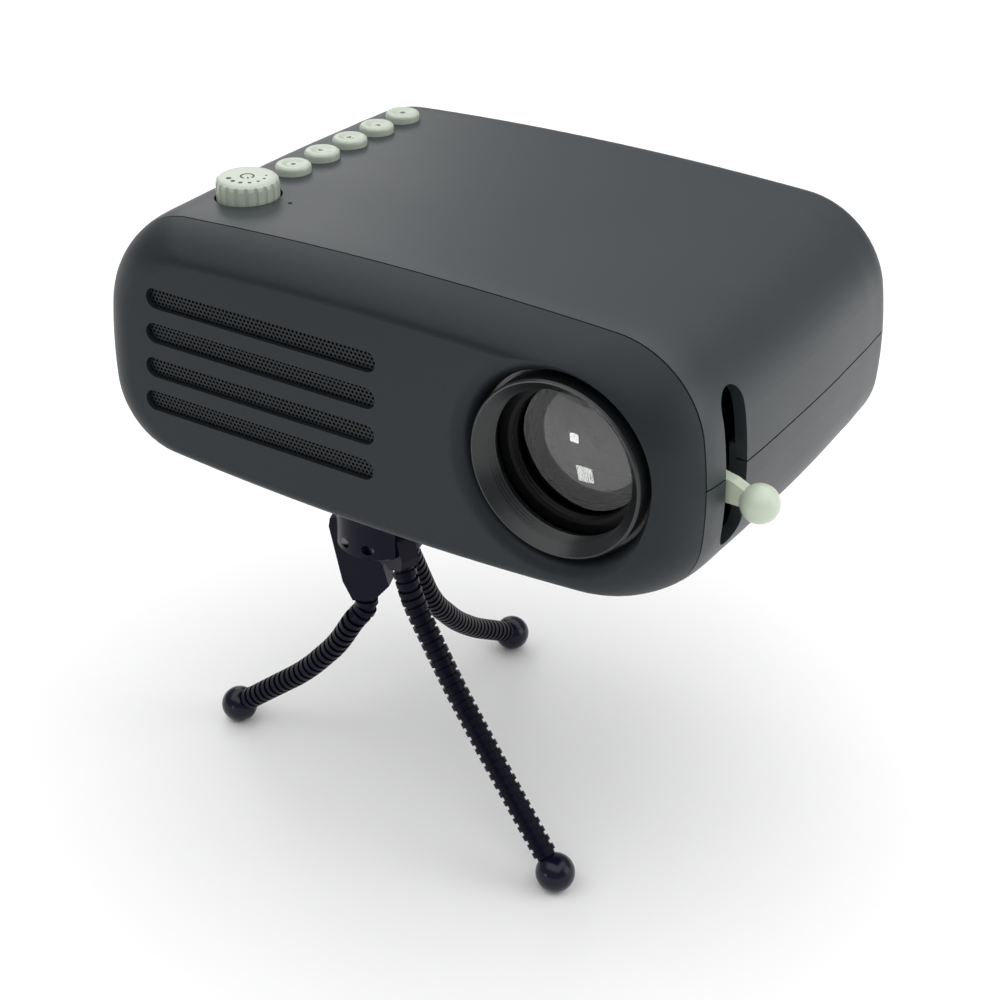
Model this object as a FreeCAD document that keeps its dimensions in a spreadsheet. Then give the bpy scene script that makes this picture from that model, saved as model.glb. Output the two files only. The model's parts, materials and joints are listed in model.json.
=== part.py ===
"""Mini LED projector on a mini flexible tripod, as a parametric FreeCAD document (millimetres).

Casing coordinates: X to the right seen from the front, Y from the front face to the rear, Z up from
the level where the casing is widest. Every finished piece is then moved as a whole, so that the origin
of the part lies on the floor below the middle of its outer box.
"""
import FreeCAD, Part
import math
import os
import re
import Sketcher
from FreeCAD import Placement, Rotation, Vector

doc = FreeCAD.newDocument("MiniProjector")

# ---------------------------------------------------------------- driving sizes
SIZES = {
    # casing form
    "casing_width": 126.0, "casing_depth": 89.0, "rise": 29.2, "drop": 20.4,
    "upper_side_radius": 79.0, "upper_crown_radius": 760.0, "upper_corner_radius": 17.8,
    "lower_side_radius": 80.5, "lower_crown_radius": 600.0, "lower_corner_radius": 13.3,
    "side_bulge": 1.65, "corner_tightening": 0.16,
    "front_round_depth": 15.2, "front_round_inset": 9.8, "front_round_drop": 5.1,
    "rear_round_depth": 6.8, "rear_round_inset": 9.4, "rear_round_drop": 5.5,
    "wall": 2.2, "seam_gap": 0.3, "bezel_seam": 10.5, "parting_height": 4.2,
    "lip_thickness": 1.1, "lip_length": 2.6, "lip_play": 0.3,
    # speaker grille
    "slot_side_room": 17.3, "slot_lens_room": 34.5, "slot_height": 4.0, "slot_pitch": 6.97, "slot_top": 15.8,
    "slot_step_left": 0.75, "slot_step_right": 0.33, "mesh_setback": 0.9, "mesh_thickness": 0.6,
    "mesh_margin": 1.6, "mesh_play": 0.1,
    # optical axis and lens
    "lens_side_room": 24.0, "lens_z": 5.9, "recess_radius": 16.6, "recess_flare": 3.8, "recess_depth": 4.4,
    "ring_radius": 15.9, "ring_front": 0.2, "ring_chamfer": 0.3, "mouth_radius": 13.9,
    "ring_land": 0.2, "flange_radius": 19.6, "flange_thickness": 1.2, "baffle_step": 0.8,
    "barrel_radius": 14.3, "barrel_front": 6.8, "barrel_length": 27.0, "retainer_radius": 13.0,
    "front_lens_radius": 12.4, "front_lens_seat": 9.6, "front_lens_edge": 2.4, "front_lens_curve": 34.0,
    "middle_lens_radius": 10.4, "middle_lens_seat": 19.0, "middle_lens_edge": 1.8, "middle_lens_curve": 26.0,
    "rear_lens_radius": 9.6, "rear_lens_seat": 27.0, "rear_lens_edge": 2.6, "rear_lens_curve": 30.0,
    "stop_radius": 8.6, "running_play": 0.06,
    "housing_front": 14.0, "housing_wall": 2.2, "housing_flange": 2.0, "engine_pillar": 1.7,
    "engine_screw_room": 2.2, "engine_screw_slant": 35.43, "engine_screw_radius": 1.0,
    "engine_screw_grip": 4.0,
    # focus drive
    "lever_y": 18.8, "lever_rest": -12.0, "lever_reach": 28.9, "ball_radius": 3.4,
    "drive_ring_width": 5.0, "drive_ring_wall": 2.4, "neck_root": 4.2, "neck_tip": 3.0, "neck_shoulder": 23.8,
    "neck_end": 26.6, "neck_thickness": 2.4, "window_half_height": 10.6, "lever_slot_y": 19.6,
    "lever_slot_width": 7.2, "lever_slot_rise": 12.9, "lever_slot_drop": 15.8,
    "drive_pin_radius": 1.2, "drive_pin_depth": 1.1,
    # light engine
    "engine_front": 36.0, "engine_rear_room": 13.0, "engine_half_width": 17.5, "engine_half_height": 13.0,
    "engine_wall": 1.5, "fresnel_thickness": 1.6, "fresnel_room": 5.0,
    "panel_thickness": 1.8, "heat_glass_room": 8.0, "heat_glass_thickness": 1.1,
    "condenser_room": 12.0, "condenser_edge": 1.8, "condenser_radius": 10.5, "condenser_curve": 12.5,
    "star_thickness": 1.6, "star_size": 21.0, "led_size": 7.0, "led_height": 0.9,
    "sink_reach": 19.6, "sink_width": 31.0, "sink_base": 2.6, "sink_fin": 1.1, "sink_fin_pitch": 3.2,
    "sink_fin_depth": 6.4, "sink_fins": 8,
    # fan
    "fan_lens_room": 30.8, "fan_rear_room": 22.0, "fan_z": 6.0, "fan_size": 30.0, "fan_thickness": 10.0,
    "fan_bore": 13.9, "blade_reach": 13.3, "fan_hub": 7.2, "blade_count": 7, "blade_thickness": 1.0,
    "fan_pin": 1.0,
    # speaker
    "speaker_slot_room": 23.7, "speaker_z": 5.0, "speaker_radius": 13.6, "gasket_thickness": 1.2,
    "speaker_rim": 1.6, "magnet_radius": 8.2, "magnet_depth": 4.2, "basket_depth": 4.6,
    # keys and knob
    "key_side_room": 21.2, "key_knob_room": 14.5, "key_pitch": 9.0, "key_count": 5, "key_radius": 3.43,
    "key_top": 29.8, "key_edge": 0.7, "key_dish": 0.25, "key_travel": 0.5, "key_play": 0.1,
    "key_flange": 0.65, "key_flange_top": 25.2, "key_flange_thickness": 0.8, "key_stem": 1.3,
    "board_thickness": 1.6, "key_board_level": 19.0, "key_board_side": 5.8, "key_board_width": 18.0,
    "key_board_middle": 23.8, "key_board_length": 66.0, "switch_size": 4.6, "switch_body": 1.5,
    "plunger_radius": 1.0, "plunger_height": 0.8,
    "knob_offset": 0.8, "knob_lead": 25.55, "knob_radius": 5.85, "knob_top": 31.8, "knob_flutes": 20,
    "knob_flute_radius": 0.55, "knob_play": 0.45, "knob_bottom": 26.4, "knob_edge": 0.6,
    "shaft_radius": 2.0, "shaft_top": 30.4, "pot_size": 9.5, "pot_height": 4.4,
    "pinhole_side": 9.5, "pinhole_step": 0.2, "pinhole_radius": 0.45, "pipe_radius": 1.3,
    # main board and sockets
    "board_side_room": 13.6, "board_width": 56.4, "board_front": 24.0, "board_rear_room": 4.6,
    "board_level": -12.0,
    "jack_side": 3.8, "jack_radius": 3.1, "jack_bore": 1.75, "jack_bore_depth": 14.0, "jack_length": 14.6,
    "usb_side": 16.4, "usb_width": 13.2, "usb_height": 5.7, "usb_length": 14.0,
    "hdmi_side": 33.8, "hdmi_width": 15.0, "hdmi_height": 5.6, "hdmi_length": 11.6,
    "power_side": 48.0, "power_width": 8.0, "power_height": 3.0, "power_length": 6.6,
    "socket_wall": 0.4, "socket_setback": 0.3, "socket_play": 0.25, "tongue_thickness": 1.8,
    "panel_side": 1.0, "panel_width": 56.0, "panel_low": -12.8, "panel_high": 0.4,
    "panel_plate": 1.4, "panel_ledge": 1.2,
    "vent_width": 30.0, "vent_height": 1.8, "vent_pitch": 4.4, "vent_side": 18.0,
    # casing fasteners, feet and tripod thread
    "boss_radius": 4.0, "boss_play": 0.6, "pad_side": 19.0, "pad_front": 17.0, "pad_rear": 16.0,
    "screw_radius": 1.25, "screw_clearance": 1.6, "screw_head_radius": 2.7,
    "screw_head": 1.8, "screw_seat": -13.0, "screw_grip": 9.0, "post_radius": 1.5,
    "pad_radius": 5.0, "pad_height": 1.5,
    "mount_x": -12.6, "mount_y": 23.6, "mount_face": -20.9, "mount_boss_radius": 8.0,
    "insert_radius": 4.6, "insert_bore": 3.2, "insert_length": 8.0,
    # tripod
    "stud_radius": 3.14, "stud_entry": 6.0, "lock_ring_radius": 9.0, "lock_ring_height": 3.6,
    "tripod_play": 0.3, "hub_radius": 8.5, "hub_height": 11.0, "hub_below_pin": 2.5,
    "pin_reach": 5.2, "hinge_pin": 1.0, "hinge_play": 0.3, "hinge_room": 6.1, "slot_start": 1.3,
    "bracket_thickness": 4.0, "knuckle_radius": 3.3, "bracket_outer": 4.6, "bracket_inner": 5.8,
    "bracket_length": 16.0, "bracket_taper": 4.4, "short_length": 5.6,
    "pin_half": 6.0, "leg_core": 1.85, "rib_radius": 2.3, "rib_width": 1.1, "rib_pitch": 1.9,
    "foot_radius": 3.85, "foot_level": -90.5, "plug_depth": 3.6,
}
# places that follow from the walls and from each other: what is on the left keeps its distance from the
# left wall, the light path from the right wall, the sockets and the lamp from the rear wall
PLACES = {
    "lens_x": "casing_width / 2 - lens_side_room",
    "slot_left": "slot_side_room - casing_width / 2",
    "slot_right": "lens_x - slot_lens_room",
    "speaker_x": "slot_left + speaker_slot_room",
    "key_x": "key_side_room - casing_width / 2",
    "knob_x": "key_x + knob_offset",
    "knob_y": "(bezel_seam + casing_depth) / 2 - knob_lead",
    "key_first_y": "knob_y + key_knob_room",
    "key_board_left": "key_x - key_board_side",
    "key_board_front": "knob_y + key_board_middle - key_board_length / 2",
    "pinhole_x": "knob_x + pinhole_side",
    "pinhole_y": "knob_y + pinhole_step",
    "board_left": "board_side_room - casing_width / 2",
    "board_right": "board_left + board_width",
    "board_rear": "casing_depth - board_rear_room",
    "jack_x": "board_left + jack_side",
    "usb_x": "board_left + usb_side",
    "hdmi_x": "board_left + hdmi_side",
    "power_x": "board_left + power_side",
    "panel_left": "board_left - panel_side",
    "engine_length": "casing_depth - engine_front - engine_rear_room",
    "condenser_y": "engine_front + engine_length - condenser_room",
    "heat_glass_y": "condenser_y - heat_glass_room",
    "front_fresnel_y": "engine_front + fresnel_room",
    "panel_y": "(2 * front_fresnel_y + heat_glass_y) / 3",
    "rear_fresnel_y": "(front_fresnel_y + 2 * heat_glass_y) / 3",
    "sink_left": "lens_x - sink_reach",
    "fan_x": "lens_x - fan_lens_room",
    "fan_y": "casing_depth - fan_rear_room",
    "vent_left": "lens_x - vent_side",
    "housing_bore": "barrel_radius + running_play",
    "housing_radius": "housing_bore + housing_wall",
    "drive_bore": "housing_radius + running_play",
    "drive_radius": "drive_bore + drive_ring_wall",
}
KEY_NAMES = ("menu_button", "back_button", "play_button", "forward_button", "source_button")
# heading of each leg's hinge, how far its bracket is swung out, whether that bracket is a long one,
# and the way that the leg runs down to its foot
LEGS = {
    "left": (200.0, -6.3, True, [(-18.1, 21.4, -55.4), (-22.9, 21.8, -63.4), (-31.6, 22.2, -73.5)],
             (-51.4, 23.0)),
    "front": (340.0, 24.0, False, [(-3.3, 21.0, -46.0), (7.0, 20.2, -62.5), (21.4, 17.0, -78.2)],
              (34.1, 13.6)),
    "back": (90.0, 21.0, False, [(-14.4, 43.2, -61.9), (-15.8, 54.5, -73.6), (-16.4, 62.8, -80.4)],
             (-16.3, 78.4)),
}

sheet = doc.addObject("Spreadsheet::Sheet", "Sizes")
for row, (word, value) in enumerate(SIZES.items(), start=1):
    sheet.set(f"A{row}", word)
    sheet.set(f"B{row}", str(value))
    sheet.setAlias(f"B{row}", word)
doc.recompute()


# ---------------------------------------------------------------- helpers
def cells(text):
    """The same expression, with places written out and the sheet's name before each of its words."""
    def write_out(found):
        word = found.group()
        if word in PLACES:
            return "(" + cells(PLACES[word]) + ")"
        return "Sizes." + word if word in SIZES else word

    return re.sub(r"[a-z]+(?:_[a-z]+)*", write_out, str(text))


def number(text):
    """The present value of an expression, in millimetres or degrees."""
    result = sheet.evalExpression(cells(text))
    return float(getattr(result, "Value", result))


def bind(item, **sizes):
    for name, text in sizes.items():
        item.setExpression(name, cells(text))


# the whole part is shifted so that its origin is on the floor, below the middle of its outer box
LEVER_END = "lens_x + lever_reach * cos(lever_rest) + ball_radius"
SHIFT = (f"casing_width / 4 - ({LEVER_END}) / 2", "-casing_depth / 2", "foot_radius - foot_level")
ALONG = {
    "z": Rotation(),
    "-z": Rotation(Vector(1, 0, 0), 180),
    "y": Rotation(Vector(1, 0, 0), -90),
    "-y": Rotation(Vector(1, 0, 0), 90),
    "x": Rotation(Vector(0, 1, 0), 90),
}


def put(item, spot=(0, 0, 0), turn=None):
    """Place an item at a spot given as three expressions."""
    item.Placement = Placement(Vector(), turn or Rotation())
    for axis, text in zip("xyz", spot):
        item.setExpression(f"Placement.Base.{axis}", cells(text))
    return item


def box(name, low, size):
    item = doc.addObject("Part::Box", name)
    bind(item, Length=size[0], Width=size[1], Height=size[2])
    return put(item, low)


def cylinder(name, radius, length, spot, along="z"):
    item = doc.addObject("Part::Cylinder", name)
    bind(item, Radius=radius, Height=length)
    return put(item, spot, ALONG[along])


def ball(name, radius, spot):
    item = doc.addObject("Part::Sphere", name)
    bind(item, Radius=radius)
    return put(item, spot)


def fuse(name, items):
    item = doc.addObject("Part::MultiFuse", name)
    item.Shapes = items
    return item


def common(name, items):
    item = doc.addObject("Part::MultiCommon", name)
    item.Shapes = items
    return item


def cut(name, base, tools):
    item = doc.addObject("Part::Cut", name)
    item.Base = base
    item.Tool = tools[0] if len(tools) == 1 else fuse(name + "_tools", tools)
    return item


def solid(name, shape):
    item = doc.addObject("Part::Feature", name)
    item.Shape = shape
    return item


def group(name, items):
    item = doc.addObject("Part::Compound", name)
    item.Links = items
    return item


def outline(body, plane_role, points, name):
    """A closed outline on one of the body's own planes, each corner held by the sheet."""
    sketch = body.newObject("Sketcher::SketchObject", name)
    plane = next(part for part in body.Origin.OriginFeatures if part.Role == plane_role)
    sketch.AttachmentSupport = [(plane, "")]
    sketch.MapMode = "FlatFace"
    spots = [Vector(number(across), number(up), 0) for across, up in points]
    for index, start in enumerate(spots):
        sketch.addGeometry(Part.LineSegment(start, spots[(index + 1) % len(spots)]), False)
    for index in range(len(spots)):
        following = (index + 1) % len(spots)
        sketch.addConstraint(Sketcher.Constraint("Coincident", index, 2, following, 1))
    for index, (across, up) in enumerate(points):
        for kind, axis, text in (("DistanceX", -2, across), ("DistanceY", -1, up)):
            if str(text) == "0":
                sketch.addConstraint(Sketcher.Constraint("PointOnObject", index, 1, axis))
                continue
            held = sketch.addConstraint(Sketcher.Constraint(kind, -1, 1, index, 1, number(text)))
            sketch.setExpression(f"Constraints[{held}]", cells(text))
    return sketch


def turned(name, points):
    """A body turned about its own Z axis from an outline of (radius, height) corners."""
    body = doc.addObject("PartDesign::Body", name)
    sketch = outline(body, "XZ_Plane", points, name + "_profile")
    revolution = body.newObject("PartDesign::Revolution", name + "_turning")
    revolution.Profile = sketch
    revolution.ReferenceAxis = (sketch, ["V_Axis"])
    revolution.Angle = 360
    sketch.Visibility = False
    return body


def padded(name, plane_role, points, length, both_ways=False):
    """A body of constant section, from an outline on one of its own planes."""
    body = doc.addObject("PartDesign::Body", name)
    sketch = outline(body, plane_role, points, name + "_outline")
    pad = body.newObject("PartDesign::Pad", name + "_pad")
    pad.Profile = sketch
    pad.Midplane = both_ways
    bind(pad, Length=length)
    return body


pieces = {}


def piece(node, item, spot=(0, 0, 0), turn=None):
    """Name a finished piece and move it into the frame of the whole part."""
    item.Label = node
    put(item, [f"{shift} + {place}" for shift, place in zip(SHIFT, spot)], turn)
    pieces[node] = item
    return item


# ---------------------------------------------------------------- casing form
def quarter(half_width, height, side_radius, crown_radius, corner_radius):
    """Where the side arc, the corner arc and the crown arc of one quarter of a section meet."""
    side = Vector(half_width - side_radius, 0, 0)
    crown = Vector(0, 0, height - crown_radius)
    reach_side = side_radius - corner_radius
    reach_crown = crown_radius - corner_radius
    apart = (crown - side).Length
    along = (reach_side**2 - reach_crown**2 + apart**2) / (2 * apart)
    off = math.sqrt(reach_side**2 - along**2)
    line = (crown - side) / apart
    corner = max((side + line * along + Vector(sign * line.z, 0, -sign * line.x) * off for sign in (1, -1)),
                 key=lambda spot: spot.x + spot.z)

    def reach(centre, radius, towards):
        return centre + (towards - centre).normalize() * radius

    join_side = reach(side, side_radius, corner)
    join_crown = reach(crown, crown_radius, corner)
    return {
        "side": (Vector(half_width, 0, 0), reach(side, side_radius,
                                                 (Vector(half_width, 0, 0) + join_side) / 2),
                 join_side),
        "corner": (join_side, reach(corner, corner_radius, (join_side + join_crown) / 2), join_crown),
        "join_crown": join_crown,
    }


def section(y, skin):
    """The casing's outline at one depth, moved inwards by the skin thickness."""
    depth = number("casing_depth")
    half = number("casing_width / 2") - number("side_bulge") * ((y - depth / 2) / (depth / 2))**2
    lower_by = 0.0
    for name, from_end in (("front", y), ("rear", depth - y)):
        reach = number(f"{name}_round_depth") - skin
        into = from_end - skin
        if into < reach:
            run = min(1.0, (reach - into) / reach)
            share = 1 - math.sqrt(max(0.0, 1 - run * run))
            half -= (number(f"{name}_round_inset") - skin) * share
            lower_by = (number(f"{name}_round_drop") - min(skin, 2.0)) * share
    tighten = number("corner_tightening") * lower_by
    parts = {}
    for level, height in (("upper", "rise"), ("lower", "drop")):
        parts[level] = quarter(half - skin, number(height) - lower_by - skin,
                               number(f"{level}_side_radius") - skin, number(f"{level}_crown_radius") - skin,
                               number(f"{level}_corner_radius") - skin - tighten)

    def spot(point, right, up):
        return Vector(point.x * right, y, point.z * up)

    def arc(points, right, up, backwards=False):
        ends = [spot(point, right, up) for point in points]
        if backwards:
            ends.reverse()
        return Part.Arc(*ends).toShape()

    def crown(level, up, backwards):
        join = parts[level]["join_crown"]
        top = number("rise" if up > 0 else "drop") - lower_by - skin
        ends = [Vector(join.x, y, join.z * up), Vector(0, y, top * up), Vector(-join.x, y, join.z * up)]
        if backwards:
            ends.reverse()
        return Part.Arc(*ends).toShape()

    edges = [
        arc(parts["upper"]["side"], 1, 1), arc(parts["upper"]["corner"], 1, 1), crown("upper", 1, False),
        arc(parts["upper"]["corner"], -1, 1, True), arc(parts["upper"]["side"], -1, 1, True),
        arc(parts["lower"]["side"], -1, -1), arc(parts["lower"]["corner"], -1, -1), crown("lower", -1, True),
        arc(parts["lower"]["corner"], 1, -1, True), arc(parts["lower"]["side"], 1, -1, True),
    ]
    return Part.Wire(edges)


def casing_form(name, skin):
    """The closed form of the casing, or of its inside when the skin is more than nothing."""
    depth = number("casing_depth")
    front = number("front_round_depth") - skin
    rear = number("rear_round_depth") - skin
    steps = 7
    angles = [math.pi / 2 * step / steps for step in range(steps + 1)]
    stations = [skin + front * (1 - math.cos(angle)) for angle in angles]
    # between the rounded ends the sections spread out step by step, so that the surface stays even
    stations += [skin + front * share for share in (1.25, 1.65, 2.25)]
    stations.append((skin + front * 2.25 + depth - skin - rear * 3.7) / 2)
    stations += [depth - skin - rear * share for share in (3.7, 2.5, 1.75, 1.28)]
    stations += [depth - skin - rear * (1 - math.cos(angle)) for angle in reversed(angles)]
    wires = [section(y, skin) for y in stations]
    return solid(name, Part.makeLoft(wires, True, False))


outer_form = casing_form("outer_form", 0.0)
inner_form = casing_form("inner_form", number("wall"))
liner_form = casing_form("liner_form", number("wall + lip_thickness"))
# ---------------------------------------------------------------- casing shells
FULL = "casing_width + 20"


def slab(name, front, rear, low="-casing_width", high="casing_width"):
    """A block as wide as the casing and more, between two depths and two levels."""
    return box(name, (f"-({FULL}) / 2", front, low), (FULL, f"{rear} - ({front})", f"{high} - ({low})"))


def rounded_slot(name, start, end, half_height, low, high, along="y"):
    """A cutter with round ends, running along X (seen from the front) or along Z (seen from the side)."""
    if along == "y":
        straight = box(name + "_middle", (start[0], low, f"{start[1]} - {half_height}"),
                       (f"{end[0]} - ({start[0]})", f"{high} - ({low})", f"2 * {half_height}"))
        ends = [cylinder(f"{name}_end_{index}", half_height, f"{high} - ({low})", (spot[0], low, spot[1]),
                         "y")
                for index, spot in enumerate((start, end))]
    else:
        straight = box(name + "_middle", (low, f"{start[0]} - {half_height}", start[1]),
                       (f"{high} - ({low})", f"2 * {half_height}", f"{end[1]} - ({start[1]})"))
        ends = [cylinder(f"{name}_end_{index}", half_height, f"{high} - ({low})", (low, spot[0], spot[1]),
                         "x")
                for index, spot in enumerate((start, end))]
    return fuse(name, [straight] + ends)


casing_skin = cut("casing_skin", outer_form, [inner_form])
lip_skin = cut("lip_skin", inner_form, [liner_form])
SEAM_FRONT = "bezel_seam - seam_gap / 2"
SEAM_REAR = "bezel_seam + seam_gap / 2"
PART_LOW = "parting_height - seam_gap / 2"
PART_HIGH = "parting_height + seam_gap / 2"
BACK = "casing_depth + 10"

# front bezel: the rounded front wall with its lip, speaker slots and the flared lens recess
grille_slots = [
    rounded_slot(f"grille_slot_{index}",
                 (f"slot_left - {index} * slot_step_left + slot_height / 2",
                  f"slot_top - {index} * slot_pitch"),
                 (f"slot_right - {index} * slot_step_right - slot_height / 2",
                  f"slot_top - {index} * slot_pitch"),
                 "slot_height / 2", "-1", "wall + 2")
    for index in range(4)
]


def mesh_outline(name, play, front, thickness):
    """The oblong behind all four slots, which the punched sheet fills and its pocket clears."""
    return box(name, (f"slot_left - 3 * slot_step_left - mesh_margin - {play}", front,
                      f"slot_top - 3 * slot_pitch - slot_height / 2 - mesh_margin - {play}"),
               (f"slot_right - slot_left + 3 * slot_step_left + 2 * mesh_margin + 2 * {play}",
                thickness,
                f"3 * slot_pitch + slot_height + 2 * mesh_margin + 2 * {play}"))


flare = doc.addObject("Part::Torus", "recess_flare_form")
bind(flare, Radius1="recess_radius + recess_flare", Radius2="recess_flare")
put(flare, ("lens_x", "recess_flare", "lens_z"), ALONG["y"])
recess = fuse("lens_recess", [
    cut("recess_mouth", cylinder("recess_wide", "recess_radius + recess_flare", "recess_flare + 1",
                                 ("lens_x", "-1", "lens_z"), "y"), [flare]),
    cylinder("recess_bore", "recess_radius", "recess_depth + 2", ("lens_x", "-1", "lens_z"), "y"),
])
bezel_solid = fuse("bezel_solid", [
    common("bezel_skin", [casing_skin, slab("bezel_zone", "-5", SEAM_FRONT)]),
    common("bezel_lip", [lip_skin, slab("bezel_lip_zone", "bezel_seam - lip_length",
                                        "bezel_seam + lip_length")]),
    common("recess_boss", [outer_form, cylinder("recess_boss_bar", "recess_radius + 4", "recess_depth - 1",
                                                ("lens_x", "1", "lens_z"), "y")]),
])
mesh_pocket = mesh_outline("mesh_pocket", "mesh_play", "mesh_setback", "wall + 1 - mesh_setback")
piece("front_bezel", cut("bezel", bezel_solid, grille_slots + [mesh_pocket, recess]))

# shells behind the bezel, parted at the casing's widest level
sleeve = common("sleeve", [casing_skin, slab("sleeve_zone", SEAM_REAR, BACK)])
BOSSES = {"front_left": ("10.6 - casing_width / 2", "19"),
          "rear_left": ("9 - casing_width / 2", "casing_depth - 13"),
          "front_right": ("lens_x - drive_radius - boss_radius - boss_play", "19.4"),
          "rear_right": ("casing_width / 2 - 8.4", "casing_depth - 8.2")}


def boss_bars(level, low, high):
    return [cylinder(f"{level}_boss_{corner}", "boss_radius", f"{high} - ({low})", (x, y, low))
            for corner, (x, y) in BOSSES.items()]


def boss_holes(level, radius, low, high):
    return [cylinder(f"{level}_hole_{corner}", radius, f"{high} - ({low})", (x, y, low))
            for corner, (x, y) in BOSSES.items()]


lever_slot = rounded_slot("lever_slot", ("lever_slot_y", "lens_z - lever_slot_drop + lever_slot_width / 2"),
                          ("lever_slot_y", "lens_z + lever_slot_rise - lever_slot_width / 2"),
                          "lever_slot_width / 2", "casing_width / 2 - 9", "casing_width / 2 + 9", "x")


def vents(level, first, count):
    return [box(f"{level}_vent_{index}", ("vent_left", "casing_depth - wall - 2",
                                          f"{first} + {index} * vent_pitch"),
                ("vent_width", "wall + 4", "vent_height")) for index in range(count)]


KEY_SPOTS = [("key_x", f"key_first_y + {index} * key_pitch") for index in range(SIZES["key_count"])]
KEY_BOARD_TOP = "key_board_level + board_thickness"
POSTS = [("key_board_left + key_board_width - 2.6",
          f"key_first_y + {index} * key_pitch") for index in (-0.5, 1.5, 4.5)]
post_bars = [cylinder(f"key_post_{index}", "post_radius", f"rise - ({KEY_BOARD_TOP})", (x, y, KEY_BOARD_TOP))
             for index, (x, y) in enumerate(POSTS)]
fan_hanger = box("fan_hanger", ("fan_x", "fan_y - 6", "fan_z + fan_size / 2"),
                 ("fan_thickness", "12", "rise - fan_z - fan_size / 2"))
top_inside = common("top_inside", [outer_form, fuse("top_bars", post_bars + [fan_hanger]
                                                    + boss_bars("top", PART_HIGH, "rise"))])
top_solid = fuse("top_solid", [common("top_skin", [sleeve, slab("top_zone", "0", BACK, PART_HIGH)]),
                               top_inside])
top_tools = [lever_slot, cylinder("knob_hole", "knob_radius + knob_play", "rise",
                                  ("knob_x", "knob_y", "key_board_level")),
             cylinder("pinhole", "pinhole_radius", "rise", ("pinhole_x", "pinhole_y", "key_board_level"))]
top_tools += [cylinder(f"key_hole_{index}", "key_radius + key_play", "rise", (x, y, "key_board_level"))
              for index, (x, y) in enumerate(KEY_SPOTS)]
top_tools += boss_holes("top", "screw_radius", "parting_height - 1", "parting_height + screw_grip + 1")
top_tools += vents("top", "8", 3)
piece("top_shell", cut("top_case", top_solid, top_tools))

SUPPORTS = {
    "engine_rib_front": (("lens_x - 13", "engine_front + 8", "-drop"),
                         ("26", "2.4", "drop + lens_z - engine_half_height")),
    "engine_rib_rear": (("lens_x - 13", "engine_front + engine_length - 8", "-drop"),
                        ("26", "2.4", "drop + lens_z - engine_half_height")),
}
BOARD_POSTS = [("board_left + 3.4", "board_front + 3.5"), ("board_right - 3.6", "board_front + 3.5"),
               ("board_left + 3.4", "board_rear - 18.4"), ("board_right - 3.6", "board_rear - 10.4")]
bottom_bars = boss_bars("bottom", "-drop - 1", PART_LOW)
bottom_bars += [cylinder(f"board_post_{index}", "post_radius + 1", "board_level + drop", (x, y, "-drop"))
                for index, (x, y) in enumerate(BOARD_POSTS)]
bottom_bars += [box(name, low, size) for name, (low, size) in SUPPORTS.items()]
bottom_inside = common("bottom_inside", [outer_form, fuse("bottom_bars", bottom_bars)])
lip_reliefs = [cylinder(f"lip_relief_{corner}", "boss_radius + lip_play", "2 * lip_length", (x, y, PART_LOW))
               for corner, (x, y) in BOSSES.items()]
thread_boss = cylinder("thread_boss", "mount_boss_radius", "insert_length",
                       ("mount_x", "mount_y", "mount_face"))
shell_lip_zone = slab("shell_lip_zone", "bezel_seam + lip_length + lip_play", BACK,
                      "parting_height - lip_length", "parting_height + lip_length")
shell_lip = common("shell_lip", [lip_skin, shell_lip_zone])
bottom_solid = fuse("bottom_solid", [common("bottom_skin",
                                            [sleeve, slab("bottom_zone", "0", BACK, "-casing_width",
                                                          PART_LOW)]),
                                     bottom_inside, thread_boss, shell_lip])
bottom_tools = lip_reliefs + [lever_slot,
                box("panel_rebate", ("panel_left", "casing_depth - panel_plate", "panel_low"),
                    ("panel_width", "5", "panel_high - panel_low")),
                box("panel_opening", ("panel_left + panel_ledge", "casing_depth - wall - 2",
                                      "panel_low + panel_ledge"),
                    ("panel_width - 2 * panel_ledge", "wall + 5",
                     "panel_high - panel_low - 2 * panel_ledge")),
                cylinder("insert_hole", "insert_radius", "insert_length + 2",
                         ("mount_x", "mount_y", "mount_face - 1"))]
bottom_tools += boss_holes("bottom", "screw_clearance", "-drop - 2", "parting_height + 1")
bottom_tools += [cylinder(f"screw_seat_{corner}", "screw_head_radius + 0.3", "screw_seat + drop + 3",
                          (x, y, "-drop - 3"))
                 for corner, (x, y) in BOSSES.items()]
bottom_tools += [cylinder(f"board_hole_{index}", "screw_radius - 0.35", "6", (x, y, "board_level - 5"))
                 for index, (x, y) in enumerate(BOARD_POSTS)]
bottom_tools += vents("bottom", "-10.6", 3)
bottom_tools += [box(f"floor_vent_{index}", (f"lens_x - 15 + {index} * vent_pitch", "casing_depth - 39",
                                             "-drop - 1"),
                      ("vent_height", "15", "wall + 3"))
                 for index in range(6)]
piece("bottom_shell", cut("bottom_case", bottom_solid, bottom_tools))

# ---------------------------------------------------------------- rear panel and sockets
BOARD_TOP = "board_level + board_thickness"
SOCKETS = {
    "hdmi_socket": ("hdmi_x", "hdmi_width", "hdmi_height", "hdmi_length"),
    "usb_socket": ("usb_x", "usb_width", "usb_height", "usb_length"),
    "power_socket": ("power_x", "power_width", "power_height", "power_length"),
}
MOUTH_Y = "casing_depth - socket_setback"
panel_cuts = [box(f"{node}_window", (f"{x} - {width} / 2 - socket_play", "casing_depth - wall",
                                     f"{BOARD_TOP} - socket_play"),
                  (f"{width} + 2 * socket_play", "wall + 2", f"{height} + 2 * socket_play"))
              for node, (x, width, height, length) in SOCKETS.items()]
panel_cuts.append(cylinder("jack_window", "jack_radius + socket_play", "wall + 2",
                           ("jack_x", "casing_depth - wall", f"{BOARD_TOP} + jack_radius"), "y"))
panel_blank = box("panel_blank", ("panel_left", "casing_depth - panel_plate", "panel_low"),
                  ("panel_width", "panel_plate", "panel_high - panel_low"))
piece("rear_panel", cut("panel", panel_blank, panel_cuts))

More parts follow.
